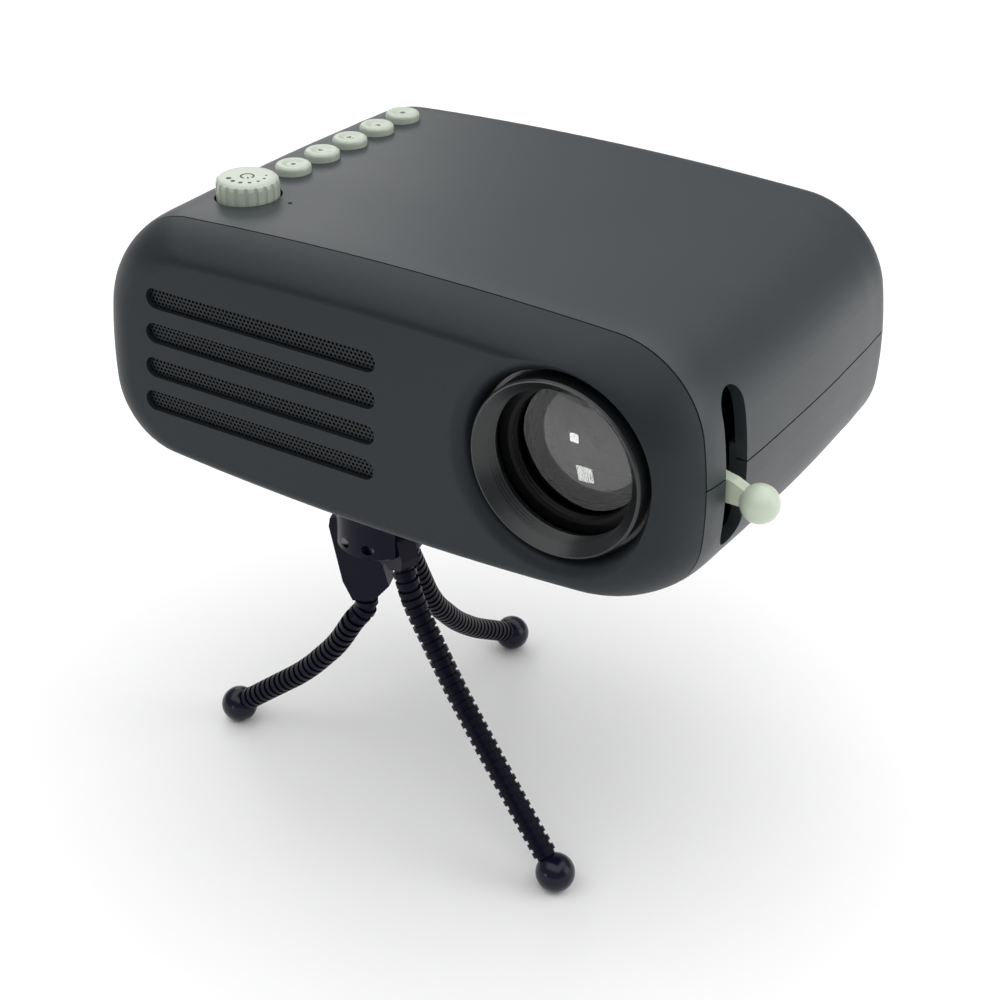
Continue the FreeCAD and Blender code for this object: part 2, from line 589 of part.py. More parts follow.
for node, (x, width, height, length) in SOCKETS.items():
    shell = cut(f"{node}_shell", box(f"{node}_block", (f"{x} - {width} / 2", f"{MOUTH_Y} - {length}",
                                                       BOARD_TOP),
                                     (width, length, height)),
                [box(f"{node}_mouth", (f"{x} - {width} / 2 + socket_wall", f"{MOUTH_Y} - {length} + 3",
                                       f"{BOARD_TOP} + socket_wall"),
                     (f"{width} - 2 * socket_wall", length, f"{height} - 2 * socket_wall"))])
    tongue_share = "0.35" if node == "power_socket" else "1"
    tongue_height = f"tongue_thickness * {tongue_share}"
    tongue_low = f"{BOARD_TOP} + {height} / 2 - {tongue_height} / 2 + 0.4"
    tongue = box(f"{node}_tongue", (f"{x} - {width} / 2 + 1.2", f"{MOUTH_Y} - {length} + 2", tongue_low),
                 (f"{width} - 2.4", f"{length} - 3", tongue_height))
    piece(node, fuse(f"{node}_whole", [shell, tongue]))
JACK_AXIS = ("jack_x", f"{MOUTH_Y} - jack_length", f"{BOARD_TOP} + jack_radius")
jack = fuse("jack_solid", [
    cylinder("jack_nose", "jack_radius", "jack_length", JACK_AXIS, "y"),
    box("jack_block", ("jack_x - jack_radius", f"{MOUTH_Y} - jack_length", BOARD_TOP),
        ("2 * jack_radius", "jack_length - wall - 1", "2 * jack_radius")),
])
piece("av_jack", cut("jack", jack, [cylinder("jack_bore_form", "jack_bore", "jack_bore_depth + 1",
                                             ("jack_x", f"{MOUTH_Y} - jack_bore_depth", JACK_AXIS[2]), "y")]))

# ---------------------------------------------------------------- boards
main_blank = box("main_blank", ("board_left", "board_front", "board_level"),
                 ("board_width", "board_rear - board_front", "board_thickness"))
piece("main_board", cut("board", main_blank, [
    cylinder(f"board_screw_way_{index}", "screw_clearance - 0.3", "board_thickness + 2",
             (x, y, "board_level - 1"))
    for index, (x, y) in enumerate(BOARD_POSTS)]))
CHIPS = [("19.4", "board_front + 16", "14", "14", "1.4"), ("19.4", "board_rear - 21.4", "10", "12", "1.2"),
         ("39.4", "board_front + 16", "9", "9", "1.0"), ("41.4", "board_rear - 26.4", "7", "7", "4.0"),
         ("4.4", "board_front + 22", "6", "6", "3.6"), ("40.4", "board_rear - 12.4", "10", "5", "1.1")]
piece("board_chips", group("chips", [
    box(f"chip_{index}", (f"board_left + {x} - {width} / 2", f"{y} - {depth} / 2", BOARD_TOP),
        (width, depth, height))
    for index, (x, y, width, depth, height) in enumerate(CHIPS)]))


def screw(name, x, y, seat, head_radius, head, shank_radius, grip):
    """A pan head under its seat, with the shank pointing up."""
    whole = fuse(name, [cylinder(name + "_head", head_radius, head, (x, y, f"{seat} - {head}")),
                        cylinder(name + "_shank", shank_radius, grip, (x, y, seat))])
    driver = box(name + "_slot", (f"{x} - {head_radius} * 0.7", f"{y} - 0.3", f"{seat} - {head} - 1"),
                 (f"{head_radius} * 1.4", "0.6", f"1 + {head} / 2"))
    return cut(name + "_slotted", whole, [driver])


piece("casing_screws", group("casing_screw_set", [
    screw(f"casing_screw_{corner}", x, y, "screw_seat", "screw_head_radius", "screw_head", "screw_radius",
          "parting_height + screw_grip - screw_seat")
    for corner, (x, y) in BOSSES.items()]))


def top_screw(name, x, y, seat, shank_radius, grip):
    """A small screw put in from above."""
    return fuse(name, [cylinder(name + "_head", f"2 * ({shank_radius})", "1.1", (x, y, seat)),
                       cylinder(name + "_shank", shank_radius, grip, (x, y, f"{seat} - ({grip})"))])


piece("board_screws", group("board_screw_set", [
    top_screw(f"board_screw_{index}", x, y, BOARD_TOP, "screw_radius - 0.35", "board_thickness + 4.5")
    for index, (x, y) in enumerate(BOARD_POSTS)]))

key_blank = box("key_blank", ("key_board_left", "key_board_front", "key_board_level"),
                ("key_board_width", "key_board_length", "board_thickness"))
piece("key_board", key_blank, ("key_board_left", "key_board_front", "key_board_level"))
switches = [fuse(f"switch_{index}", [
    box(f"switch_block_{index}", (f"{x} - switch_size / 2", f"{y} - switch_size / 2", KEY_BOARD_TOP),
        ("switch_size", "switch_size", "switch_body")),
    cylinder(f"switch_plunger_{index}", "plunger_radius", "plunger_height",
             (x, y, f"{KEY_BOARD_TOP} + switch_body"))])
    for index, (x, y) in enumerate(KEY_SPOTS)]
piece("key_switches", group("switch_set", switches))

# ---------------------------------------------------------------- keys, knob and status light
STEM_END = f"{KEY_BOARD_TOP} + switch_body + plunger_height + key_travel + 0.1"
FLANGE_LOW = "key_flange_top - key_flange_thickness"
key_profile = [("0", STEM_END), ("key_stem", STEM_END), ("key_stem", FLANGE_LOW),
               ("key_radius + key_flange", FLANGE_LOW), ("key_radius + key_flange", "key_flange_top"),
               ("key_radius", "key_flange_top"), ("key_radius", "key_top - key_edge"),
               ("key_radius - key_edge * 0.13", "key_top - key_edge * 0.5"),
               ("key_radius - key_edge * 0.5", "key_top - key_edge * 0.13"),
               ("key_radius - key_edge", "key_top"),
               ("key_radius - 1.7 * key_edge", "key_top"), ("key_radius * 0.35", "key_top - key_dish"),
               ("0", "key_top - key_dish")]
for node, (x, y) in zip(KEY_NAMES, KEY_SPOTS):
    piece(node, turned(node + "_cap", key_profile), (x, y, "0"))

knob_body = turned("knob_body", [
    ("0", "shaft_top"), ("0", "knob_top"), ("knob_radius - 2.2 * knob_edge", "knob_top"),
    ("knob_radius - knob_edge", "knob_top - 0.2 * knob_edge"),
    ("knob_radius - 0.3 * knob_edge", "knob_top - 0.8 * knob_edge"),
    ("knob_radius", "knob_top - 1.8 * knob_edge"),
    ("knob_radius", "knob_bottom"), ("shaft_radius", "knob_bottom"), ("shaft_radius", "shaft_top")])
flutes = []
for index in range(SIZES["knob_flutes"]):
    angle = f"360 * {index} / knob_flutes"
    flutes.append(cylinder(f"flute_{index}", "knob_flute_radius", "knob_top - knob_bottom + 4",
                           (f"(knob_radius + 0.25) * cos({angle})", f"(knob_radius + 0.25) * sin({angle})",
                            "knob_bottom - 2")))
piece("volume_knob", cut("knob", knob_body, flutes), ("knob_x", "knob_y", "0"))
piece("knob_shaft", cylinder("knob_bar", "shaft_radius", f"shaft_top - ({KEY_BOARD_TOP}) - 0.8", (0, 0, 0)),
      ("knob_x", "knob_y", f"{KEY_BOARD_TOP} + 0.8"))
pot_block = box("pot_block", ("knob_x - pot_size / 2", "knob_y - pot_size / 2", KEY_BOARD_TOP),
                ("pot_size", "pot_size", "pot_height"))
piece("volume_control", cut("pot", pot_block, [
    cylinder("pot_bore", "shaft_radius + running_play", "pot_height",
             ("knob_x", "knob_y", f"{KEY_BOARD_TOP} + 0.5"))]))
light_bar = cylinder("light_bar", "pipe_radius", f"rise - ({KEY_BOARD_TOP})",
                     ("pinhole_x", "pinhole_y", KEY_BOARD_TOP))
piece("status_light", common("light_guide", [light_bar, inner_form]))

# ---------------------------------------------------------------- grille, speaker
mesh_blank = mesh_outline("mesh_blank", "0", "mesh_setback", "mesh_thickness")
piece("grille_mesh", common("mesh_plate", [mesh_blank, outer_form]))
MESH_BACK = "mesh_setback + mesh_thickness"
piece("speaker_gasket", turned("gasket_ring", [
    ("speaker_radius - 2", "0"), ("speaker_radius", "0"), ("speaker_radius", "gasket_thickness"),
    ("speaker_radius - 2", "gasket_thickness")]),
    ("speaker_x", MESH_BACK, "speaker_z"), ALONG["y"])
RIM = "speaker_rim"
piece("speaker", turned("speaker_body", [
    ("0", "2.6"), ("3.6", "2.2"), ("4.0", "3.2"), ("speaker_radius - 2.4",
                                                   "0.6"), ("speaker_radius - 1.8", "0"),
    ("speaker_radius", "0"), ("speaker_radius", RIM), ("speaker_radius - 1", RIM),
    ("magnet_radius + 0.6", f"{RIM} + basket_depth"), ("magnet_radius", f"{RIM} + basket_depth"),
    ("magnet_radius", f"{RIM} + basket_depth + magnet_depth"),
    ("0", f"{RIM} + basket_depth + magnet_depth")]),
    ("speaker_x", f"{MESH_BACK} + gasket_thickness", "speaker_z"), ALONG["y"])

# ---------------------------------------------------------------- lens ring and lens unit
LENS_AXIS = ("lens_x", "0", "lens_z")
RING_BACK = "recess_depth + flange_thickness"
ring_profile = [
    ("mouth_radius", "ring_front + 1.5"), ("ring_radius - ring_chamfer - ring_land", "ring_front"),
    ("ring_radius - ring_chamfer", "ring_front"), ("ring_radius", "ring_front + ring_chamfer"),
    ("ring_radius", RING_BACK), ("mouth_radius", RING_BACK)]
for rib in range(4, 0, -1):
    ring_profile += [("mouth_radius", f"ring_front + 1.5 + {rib} * baffle_step"),
                     ("mouth_radius - 0.35", f"ring_front + 1.5 + ({rib} - 0.6) * baffle_step")]
ring_flange = cut("ring_flange", common("ring_flange_form", [
    inner_form, cylinder("ring_flange_bar", "flange_radius", "flange_thickness",
                         ("lens_x", "recess_depth", "lens_z"), "y")]),
    [cylinder("ring_flange_bore", "ring_radius - 0.5", "flange_thickness + 2",
              ("lens_x", "recess_depth - 1", "lens_z"), "y")])
ring_tube = turned("ring_tube", ring_profile)
put(ring_tube, LENS_AXIS, ALONG["y"])
piece("lens_ring", fuse("ring_whole", [ring_tube, ring_flange]))

LENS_BACK = "front_lens_seat + front_lens_edge"
BARREL_BACK = "barrel_front + barrel_length"
MIDDLE_BACK = "middle_lens_seat + middle_lens_edge"
REAR_BACK = "rear_lens_seat + rear_lens_edge"
barrel_tube = turned("barrel_tube", [
    ("retainer_radius", "barrel_front"), ("barrel_radius", "barrel_front"), ("barrel_radius", BARREL_BACK),
    ("rear_lens_radius", BARREL_BACK), ("rear_lens_radius", "rear_lens_seat"),
    ("stop_radius", "rear_lens_seat - 0.5"),
    ("stop_radius", MIDDLE_BACK), ("middle_lens_radius", MIDDLE_BACK),
    ("middle_lens_radius", f"{LENS_BACK} + 1.5"),
    ("front_lens_radius - 1", f"{LENS_BACK} + 1.5"), ("front_lens_radius - 1", LENS_BACK),
    ("front_lens_radius", LENS_BACK), ("front_lens_radius", "front_lens_seat"),
    ("retainer_radius", "front_lens_seat")])
drive_hole = cylinder("drive_hole", "drive_pin_radius", "4",
                      ("barrel_radius - drive_pin_depth", "lever_y", "0"), "x")
LEVER_TURN = Rotation(Vector(0, 1, 0), -number("lever_rest"))
put(barrel_tube, (0, 0, 0), LEVER_TURN.inverted().multiply(ALONG["y"]))
piece("lens_barrel", cut("barrel", barrel_tube, [drive_hole]), LENS_AXIS, LEVER_TURN)

retainer_profile = [("retainer_radius", "barrel_front"), ("retainer_radius", "front_lens_seat"),
                    ("front_lens_radius", "front_lens_seat"),
                    ("front_lens_radius - 0.7", "front_lens_seat - 0.6")]
for rib in range(3, 0, -1):
    retainer_profile += [("front_lens_radius - 0.2", f"barrel_front + ({rib} - 0.1) * baffle_step"),
                         ("front_lens_radius - 0.5", f"barrel_front + ({rib} - 0.7) * baffle_step")]
retainer_profile.append(("retainer_radius - 0.4", "barrel_front"))
piece("lens_retainer", turned("retainer_ring", retainer_profile), LENS_AXIS, ALONG["y"])


def lens(node, radius, seat, edge, curve, front_sign, back_sign):
    """A glass element: a disc whose faces are cut from spheres, hollow (-1), flat (0) or bulging (1)."""
    bulge = f"({curve} - sqrt({curve} * {curve} - ({radius}) * ({radius})))"
    front = f"{seat} - {bulge}" if front_sign > 0 else seat
    back = f"{seat} + {edge} + {bulge}" if back_sign > 0 else f"{seat} + {edge}"
    disc = cylinder(f"{node}_disc", radius, f"{back} - ({front})", ("lens_x", front, "lens_z"), "y")
    if front_sign > 0:
        disc = common(f"{node}_front_face", [disc, ball(f"{node}_front_ball", curve,
                                                        ("lens_x", f"{front} + {curve}", "lens_z"))])
    if back_sign > 0:
        disc = common(f"{node}_back_face", [disc, ball(f"{node}_back_ball", curve,
                                                       ("lens_x", f"{back} - {curve}", "lens_z"))])
    if back_sign < 0:
        disc = cut(f"{node}_hollow", disc, [ball(f"{node}_hollow_ball", curve,
                                                 ("lens_x", f"{back} + {curve} - 0.8", "lens_z"))])
    return piece(node, disc)


lens("front_lens", "front_lens_radius", "front_lens_seat", "front_lens_edge", "front_lens_curve", 1, 0)
lens("middle_lens", "middle_lens_radius", "middle_lens_seat", "middle_lens_edge", "middle_lens_curve", 0, -1)
lens("rear_lens", "rear_lens_radius", "rear_lens_seat", "rear_lens_edge", "rear_lens_curve", 1, 1)

housing_tube = turned("housing_tube", [("housing_bore", "housing_front"), ("housing_radius", "housing_front"),
                                       ("housing_radius", "engine_front"), ("housing_bore", "engine_front")])
put(housing_tube, LENS_AXIS, ALONG["y"])
FLANGE_FRONT = "engine_front - housing_flange"
SCREW_CIRCLE = "(housing_radius + engine_screw_room)"
FLANGE_HALF_WIDTH = f"({SCREW_CIRCLE} * cos(engine_screw_slant) + engine_pillar)"
FLANGE_HALF_HEIGHT = f"({SCREW_CIRCLE} * sin(engine_screw_slant) + engine_pillar)"
flange_blank = common("flange_blank", [
    box("flange_block", (f"lens_x - {FLANGE_HALF_WIDTH}", FLANGE_FRONT, f"lens_z - {FLANGE_HALF_HEIGHT}"),
        (f"2 * {FLANGE_HALF_WIDTH}", "housing_flange", f"2 * {FLANGE_HALF_HEIGHT}")),
    cylinder("flange_round", f"{SCREW_CIRCLE} + engine_pillar", "housing_flange",
             ("lens_x", FLANGE_FRONT, "lens_z"), "y")])
flange_plate = cut("flange_plate", flange_blank, [
    cylinder("flange_bore", "barrel_radius + 1", "housing_flange + 2",
             ("lens_x", f"{FLANGE_FRONT} - 1", "lens_z"), "y")])
window = box("drive_window", ("lens_x + 11.4", "lever_y - drive_pin_radius - 0.2",
                              "lens_z - window_half_height"),
             ("12", "2 * drive_pin_radius + 0.4", "2 * window_half_height"))
ENGINE_SCREWS = [(f"lens_x + {side} * {SCREW_CIRCLE} * cos(engine_screw_slant)",
                  f"lens_z + {level} * {SCREW_CIRCLE} * sin(engine_screw_slant)")
                 for side in (-1, 1) for level in (-1, 1)]
screw_ways = [cylinder(f"flange_way_{index}", "engine_screw_radius + 0.2", "housing_flange + 2",
                       (x, "engine_front - housing_flange - 1", z), "y")
              for index, (x, z) in enumerate(ENGINE_SCREWS)]
piece("lens_housing", cut("housing", fuse("housing_solid", [housing_tube, flange_plate]),
                          [window] + screw_ways))

drive_tube = turned("drive_tube", [("drive_bore", "-drive_ring_width / 2"),
                                   ("drive_radius", "-drive_ring_width / 2"),
                                   ("drive_radius", "drive_ring_width / 2"),
                                   ("drive_bore", "drive_ring_width / 2")])
put(drive_tube, (0, 0, 0), LEVER_TURN.inverted().multiply(ALONG["y"]))
drive_pin = cylinder("drive_pin_bar", "drive_pin_radius", "drive_bore + 1 - barrel_radius + drive_pin_depth",
                     ("barrel_radius - drive_pin_depth", "0", "0"), "x")
LEVER_AXIS = ("lens_x", "lever_y", "lens_z")
piece("focus_ring", fuse("focus_ring_solid", [drive_tube, drive_pin]), LEVER_AXIS, LEVER_TURN)
neck = padded("lever_neck", "XZ_Plane", [
    ("drive_radius - 2", "-neck_root / 2"), ("neck_shoulder", "-neck_root / 2"),
    ("neck_end", "-neck_tip / 2"),
    ("lever_reach", "-neck_tip / 2"), ("lever_reach", "neck_tip / 2"), ("neck_end", "neck_tip / 2"),
    ("neck_shoulder", "neck_root / 2"), ("drive_radius - 2", "neck_root / 2")], "neck_thickness", True)
lever_solid = fuse("lever_solid", [neck, ball("lever_ball", "ball_radius", ("lever_reach", "0", "0"))])
lever_seat = cylinder("lever_seat", "drive_radius", "drive_ring_width + 4",
                      ("0", "-drive_ring_width / 2 - 2", "0"), "y")
piece("focus_lever", cut("lever", lever_solid, [lever_seat]), LEVER_AXIS, LEVER_TURN)

# ---------------------------------------------------------------- light engine
INNER_X = "lens_x - engine_half_width + engine_wall"
INNER_Z = "lens_z - engine_half_height + engine_wall"
INNER_WIDTH = "2 * (engine_half_width - engine_wall)"
INNER_HEIGHT = "2 * (engine_half_height - engine_wall)"
tunnel = cut("tunnel", box("tunnel_block", ("lens_x - engine_half_width", "engine_front",
                                            "lens_z - engine_half_height"),
                           ("2 * engine_half_width", "engine_length", "2 * engine_half_height")),
             [box("tunnel_room", (INNER_X, "engine_front + engine_wall", INNER_Z),
                  (INNER_WIDTH, "engine_length", INNER_HEIGHT)),
              cylinder("tunnel_mouth", "rear_lens_radius", "engine_wall + 2",
                       ("lens_x", "engine_front - 1", "lens_z"), "y")])
pillars = [cylinder(f"pillar_{index}", "engine_pillar", "engine_screw_grip", (x, "engine_front", z), "y")
           for index, (x, z) in enumerate(ENGINE_SCREWS)]
pilot_holes = [cylinder(f"pilot_{index}", "engine_screw_radius", "engine_screw_grip + 2",
                        (x, "engine_front - 1", z), "y")
               for index, (x, z) in enumerate(ENGINE_SCREWS)]
piece("engine_housing", cut("engine_case", fuse("engine_solid", [tunnel] + pillars), pilot_holes))
engine_screws = [fuse(f"engine_screw_{index}", [
    cylinder(f"engine_screw_head_{index}", "2 * engine_screw_radius - 0.15", "1.1",
             (x, "engine_front - housing_flange - 1.1", z), "y"),
    cylinder(f"engine_screw_shank_{index}", "engine_screw_radius", "housing_flange + engine_screw_grip - 0.5",
             (x, "engine_front - housing_flange", z), "y")]) for index, (x, z) in enumerate(ENGINE_SCREWS)]
piece("engine_screws", group("engine_screw_set", engine_screws))


def plate(name, y, thickness):
    """A plate that fills the light tunnel's section."""
    return box(name, (INNER_X, y, INNER_Z), (INNER_WIDTH, thickness, INNER_HEIGHT))


piece("fresnel_lenses", group("fresnel_pair", [plate("front_fresnel", "front_fresnel_y", "fresnel_thickness"),
                                               plate("rear_fresnel", "rear_fresnel_y", "fresnel_thickness")]))
piece("lcd_panel", group("lcd_plates", [plate("lcd_plate", "panel_y", "panel_thickness")]))
piece("heat_glass", group("heat_glass_plates", [plate("heat_glass_plate", "heat_glass_y",
                                                      "heat_glass_thickness")]))
condenser_dome = common("condenser_dome", [
    cylinder("condenser_bar", "condenser_radius", "condenser_curve",
             ("lens_x", "condenser_y + 0.5 - condenser_curve", "lens_z"), "y"),
    ball("condenser_ball", "condenser_curve",
         ("lens_x",
          "condenser_y + sqrt(condenser_curve * condenser_curve - condenser_radius * condenser_radius)",
          "lens_z"))])
piece("condenser_lens", fuse("condenser", [condenser_dome,
                                           box("condenser_flange", (INNER_X, "condenser_y", INNER_Z),
                                               (INNER_WIDTH, "condenser_edge", INNER_HEIGHT))]))
SINK_FACE = "engine_front + engine_length"
star = fuse("star", [
    box("star_board", ("lens_x - star_size / 2", f"{SINK_FACE} - star_thickness", "lens_z - star_size / 2"),
        ("star_size", "star_thickness", "star_size")),
    box("led_chip", ("lens_x - led_size / 2", f"{SINK_FACE} - star_thickness - led_height",
                     "lens_z - led_size / 2"),
        ("led_size", "led_height", "led_size"))])
piece("led_module", star)
SINK_HEIGHT = "(sink_fins - 1) * sink_fin_pitch + sink_fin"
SINK_LOW = f"lens_z - ({SINK_HEIGHT}) / 2"
fins = [box(f"fin_{index}", ("sink_left", f"{SINK_FACE} + sink_base - 0.5",
                             f"{SINK_LOW} + {index} * sink_fin_pitch"),
            ("sink_width", "sink_fin_depth + 0.5", "sink_fin")) for index in range(SIZES["sink_fins"])]
piece("heat_sink", fuse("sink", [box("sink_plate", ("sink_left", SINK_FACE, SINK_LOW),
                                     ("sink_width", "sink_base", SINK_HEIGHT))] + fins))

# ---------------------------------------------------------------- fan
FAN_CORNER = "-fan_size / 2"
frame_block = box("fan_block", (FAN_CORNER, FAN_CORNER, "0"), ("fan_size", "fan_size", "fan_thickness"))
fan_ring = cut("fan_ring", frame_block, [cylinder("fan_duct", "fan_bore", "fan_thickness + 2",
                                                  ("0", "0", "-1"))] + [
    cylinder(f"fan_corner_{index}", "1.6", "fan_thickness + 2",
             (f"{side} * (fan_size / 2 - 3)", f"{level} * (fan_size / 2 - 3)", "-1"))
    for index, (side, level) in enumerate([(-1, -1), (-1, 1), (1, -1), (1, 1)])])
fan_spider = [box("fan_strut_across", (FAN_CORNER, "-0.8", "0"), ("fan_size", "1.6", "1.4")),
              box("fan_strut_up", ("-0.8", FAN_CORNER, "0"), ("1.6", "fan_size", "1.4")),
              cylinder("fan_motor_plate", "fan_hub", "1.4", ("0", "0", "0")),
              cylinder("fan_axle", "fan_pin", "fan_thickness - 1.8", ("0", "0", "0"))]
FAN_SPOT = ("fan_x", "fan_y", "fan_z")
piece("fan_frame", fuse("fan_case", [fan_ring] + fan_spider), FAN_SPOT, ALONG["x"])
blades = []
for index in range(SIZES["blade_count"]):
    blade = doc.addObject("Part::Box", f"blade_{index}")
    bind(blade, Length="blade_reach - fan_hub + 0.6", Width="blade_thickness", Height="fan_thickness - 4.2")
    around = Rotation(Vector(0, 0, 1), 360 * index / SIZES["blade_count"])
    tilted = around.multiply(Rotation(Vector(1, 0, 0), 38))
    blade.Placement = Placement(around.multVec(Vector(number("fan_hub - 0.8"), 1.6, 2.2)), tilted)
    blades.append(blade)
blade_trim = common("blade_trim", [fuse("blade_fan", blades),
                                   cylinder("rotor_sweep", "blade_reach", "fan_thickness - 2.6",
                                            ("0", "0", "1.9"))])
rotor = cut("rotor", fuse("rotor_solid", [cylinder("rotor_hub", "fan_hub", "fan_thickness - 2.4",
                                                   ("0", "0", "1.9")), blade_trim]),
            [cylinder("rotor_bore", "fan_pin + running_play", "fan_thickness - 2.8", ("0", "0", "1.5"))])
piece("fan_impeller", rotor, FAN_SPOT, ALONG["x"])

# ---------------------------------------------------------------- feet pads and tripod thread
PADS = [(f"{side} * (casing_width / 2 - pad_side)", y) for y in ("pad_front", "casing_depth - pad_rear")
        for side in (-1, 1)]
piece("rubber_pads", group("pad_set", [
    cut(f"pad_{index}", cylinder(f"pad_bar_{index}", "pad_radius", "pad_height + 3.4",
                                 (x, y, "-drop - pad_height")), [outer_form])
    for index, (x, y) in enumerate(PADS)]))
piece("thread_insert", turned("insert_ring", [
    ("insert_bore", "0"), ("insert_radius", "0"), ("insert_radius", "insert_length"),
    ("insert_bore", "insert_length")]),
    ("mount_x", "mount_y", "mount_face"))

# ---------------------------------------------------------------- tripod head
RING_TOP = "mount_face - tripod_play"
RING_LOW = f"{RING_TOP} - lock_ring_height"
HUB_TOP = f"{RING_LOW} - tripod_play"
HUB_LOW = f"{HUB_TOP} - hub_height"
PIN_LEVEL = f"{HUB_LOW} + hub_below_pin"
PLATE_LOW = f"{PIN_LEVEL} + hinge_room"
HEAD = ("mount_x", "mount_y")
piece("tripod_screw", cylinder("stud", "stud_radius", f"mount_face + stud_entry - ({PLATE_LOW})", (0, 0, 0)),
      HEAD + (PLATE_LOW,))
ring_body = turned("lock_ring_body", [
    ("stud_radius + running_play", "0"), ("lock_ring_radius - 0.6", "0"), ("lock_ring_radius", "0.6"),
    ("lock_ring_radius", "lock_ring_height - 0.6"), ("lock_ring_radius - 0.6", "lock_ring_height"),
    ("stud_radius + running_play", "lock_ring_height")])
knurls = [cylinder(f"knurl_{index}", "0.7", "lock_ring_height + 2",
                   (f"(lock_ring_radius + 0.25) * cos({15 * index})",
                    f"(lock_ring_radius + 0.25) * sin({15 * index})", "-1"))
          for index in range(24)]
piece("lock_ring", cut("lock_ring_knurled", ring_body, knurls), HEAD + (RING_LOW,))

hub_drum = turned("hub_drum", [
    ("0", "0"), ("hub_radius - 0.6", "0"), ("hub_radius", "0.6"), ("hub_radius", "hub_height - 0.6"),
    ("hub_radius - 0.6", "hub_height"), ("0", "hub_height")])
hub_tools = [cylinder("hub_screw_room", "stud_radius", "hub_height",
                      ("0", "0", "hub_below_pin + hinge_room"))]
pin_items = []
for side, (heading, swing, is_long, route, foot) in LEGS.items():
    turn = Rotation(Vector(0, 0, 1), heading)
    hinge_slot = box(f"{side}_hinge_slot", ("slot_start", "-bracket_thickness / 2 - hinge_play", "-1"),
                     ("hub_radius", "bracket_thickness + 2 * hinge_play", "1 + hub_below_pin + hinge_room"))
    hinge_bore = cylinder(f"{side}_hinge_bore", "hinge_pin", "2 * hub_radius",
                          ("pin_reach", "-hub_radius", "hub_below_pin"), "y")
    hinge_tools = group(f"{side}_hinge_tools", [hinge_slot, hinge_bore])
    put(hinge_tools, (0, 0, 0), turn)
    hub_tools.append(hinge_tools)
    pin = cylinder(f"{side}_pin", "hinge_pin", "2 * pin_half",
                   ("pin_reach", "-pin_half", "hub_below_pin"), "y")
    pin_set = group(f"{side}_pin_group", [pin])
    put(pin_set, (0, 0, 0), turn)
    pin_items.append(pin_set)
piece("tripod_hub", cut("hub", hub_drum, hub_tools), HEAD + (HUB_LOW,))
piece("pivot_pins", group("pin_set", pin_items), HEAD + (HUB_LOW,))


# ---------------------------------------------------------------- legs
def leg_runs(points):
    """The straight runs of a leg and the bends between them, each with its start and its heading."""
    runs = []
    start = points[0]
    for before, corner, after in zip(points, points[1:], points[2:]):
        inward = (corner - before).normalize()
        outward = (after - corner).normalize()
        angle = inward.getAngle(outward)
        setback = 0.4 * min((before - corner).Length, (after - corner).Length)
        radius = setback / math.tan(angle / 2)
        first = corner - inward * setback
        pole_axis = inward.cross(outward).normalize()
        pole = first + pole_axis.cross(inward) * radius
        runs.append(("straight", start, inward, (first - start).Length))
        runs.append(("bend", first, inward, pole, pole_axis, angle, radius))
        start = corner + outward * setback
    heading = (points[-1] - start).normalize()
    runs.append(("straight", start, heading, (points[-1] - start).Length))
    return runs


def leg_shape(points, first_rib, last_gap):
    """A ribbed gooseneck: a round core along its route, with a rib at each turn of its winding."""
    core = []
    stations = []
    travelled = 0.0
    for kind, start, heading, *rest in leg_runs(points):
        disc = Part.Face(Part.Wire(Part.makeCircle(number("leg_core"), start, heading)))
        if kind == "straight":
            core.append(disc.extrude(heading * rest[0]))
            length = rest[0]
        else:
            pole, axis, angle, radius = rest
            core.append(disc.revolve(pole, axis, math.degrees(angle)))
            length = angle * radius
        stations.append((travelled, length, kind, start, heading, rest))
        travelled += length

    def place(distance):
        for begun, length, kind, start, heading, rest in stations:
            if distance <= begun + length:
                break
        if kind == "straight":
            return start + heading * (distance - begun), heading
        pole, axis, angle, radius = rest
        turned_by = Rotation(axis, math.degrees((distance - begun) / radius))
        return pole + turned_by.multVec(start - pole), turned_by.multVec(heading)

    ribs = []
    distance = first_rib
    while distance < travelled - last_gap:
        middle, heading = place(distance)
        ribs.append(Part.makeCylinder(number("rib_radius"), number("rib_width"),
                                      middle - heading * number("rib_width / 2"), heading))
        distance += number("rib_pitch")
    return core[0].multiFuse(core[1:] + ribs).removeSplitter()


def bracket_form(side, is_long):
    """The flat plate that a leg hangs from, upright under its hinge pin."""
    if is_long:
        rim = [("0", "knuckle_radius"), ("bracket_outer - 0.5", "0.8 * knuckle_radius"),
               ("bracket_outer", "0.8"), ("bracket_outer - 1", "bracket_taper - bracket_length"),
               ("leg_core + 0.3", "-bracket_length"), ("-leg_core - 0.3", "-bracket_length"),
               ("-bracket_inner", "0.8 * bracket_taper - bracket_length"),
               ("0.6 - bracket_inner", "-bracket_length / 2"), ("-knuckle_radius", "-knuckle_radius"),
               ("-knuckle_radius", "0")]
    else:
        rim = [("0", "knuckle_radius"), ("knuckle_radius", "0"), ("knuckle_radius", "1.6 - short_length"),
               ("leg_core + 0.3", "-short_length"), ("-leg_core - 0.3", "-short_length"),
               ("-knuckle_radius", "1.6 - short_length"), ("-knuckle_radius", "0")]
    plate = padded(f"{side}_bracket_plate", "XZ_Plane", rim, "bracket_thickness", True)
    knuckle = cylinder(f"{side}_knuckle", "knuckle_radius", "bracket_thickness",
                       ("0", "-bracket_thickness / 2", "0"), "y")
    return fuse(f"{side}_bracket_solid", [plate, knuckle])


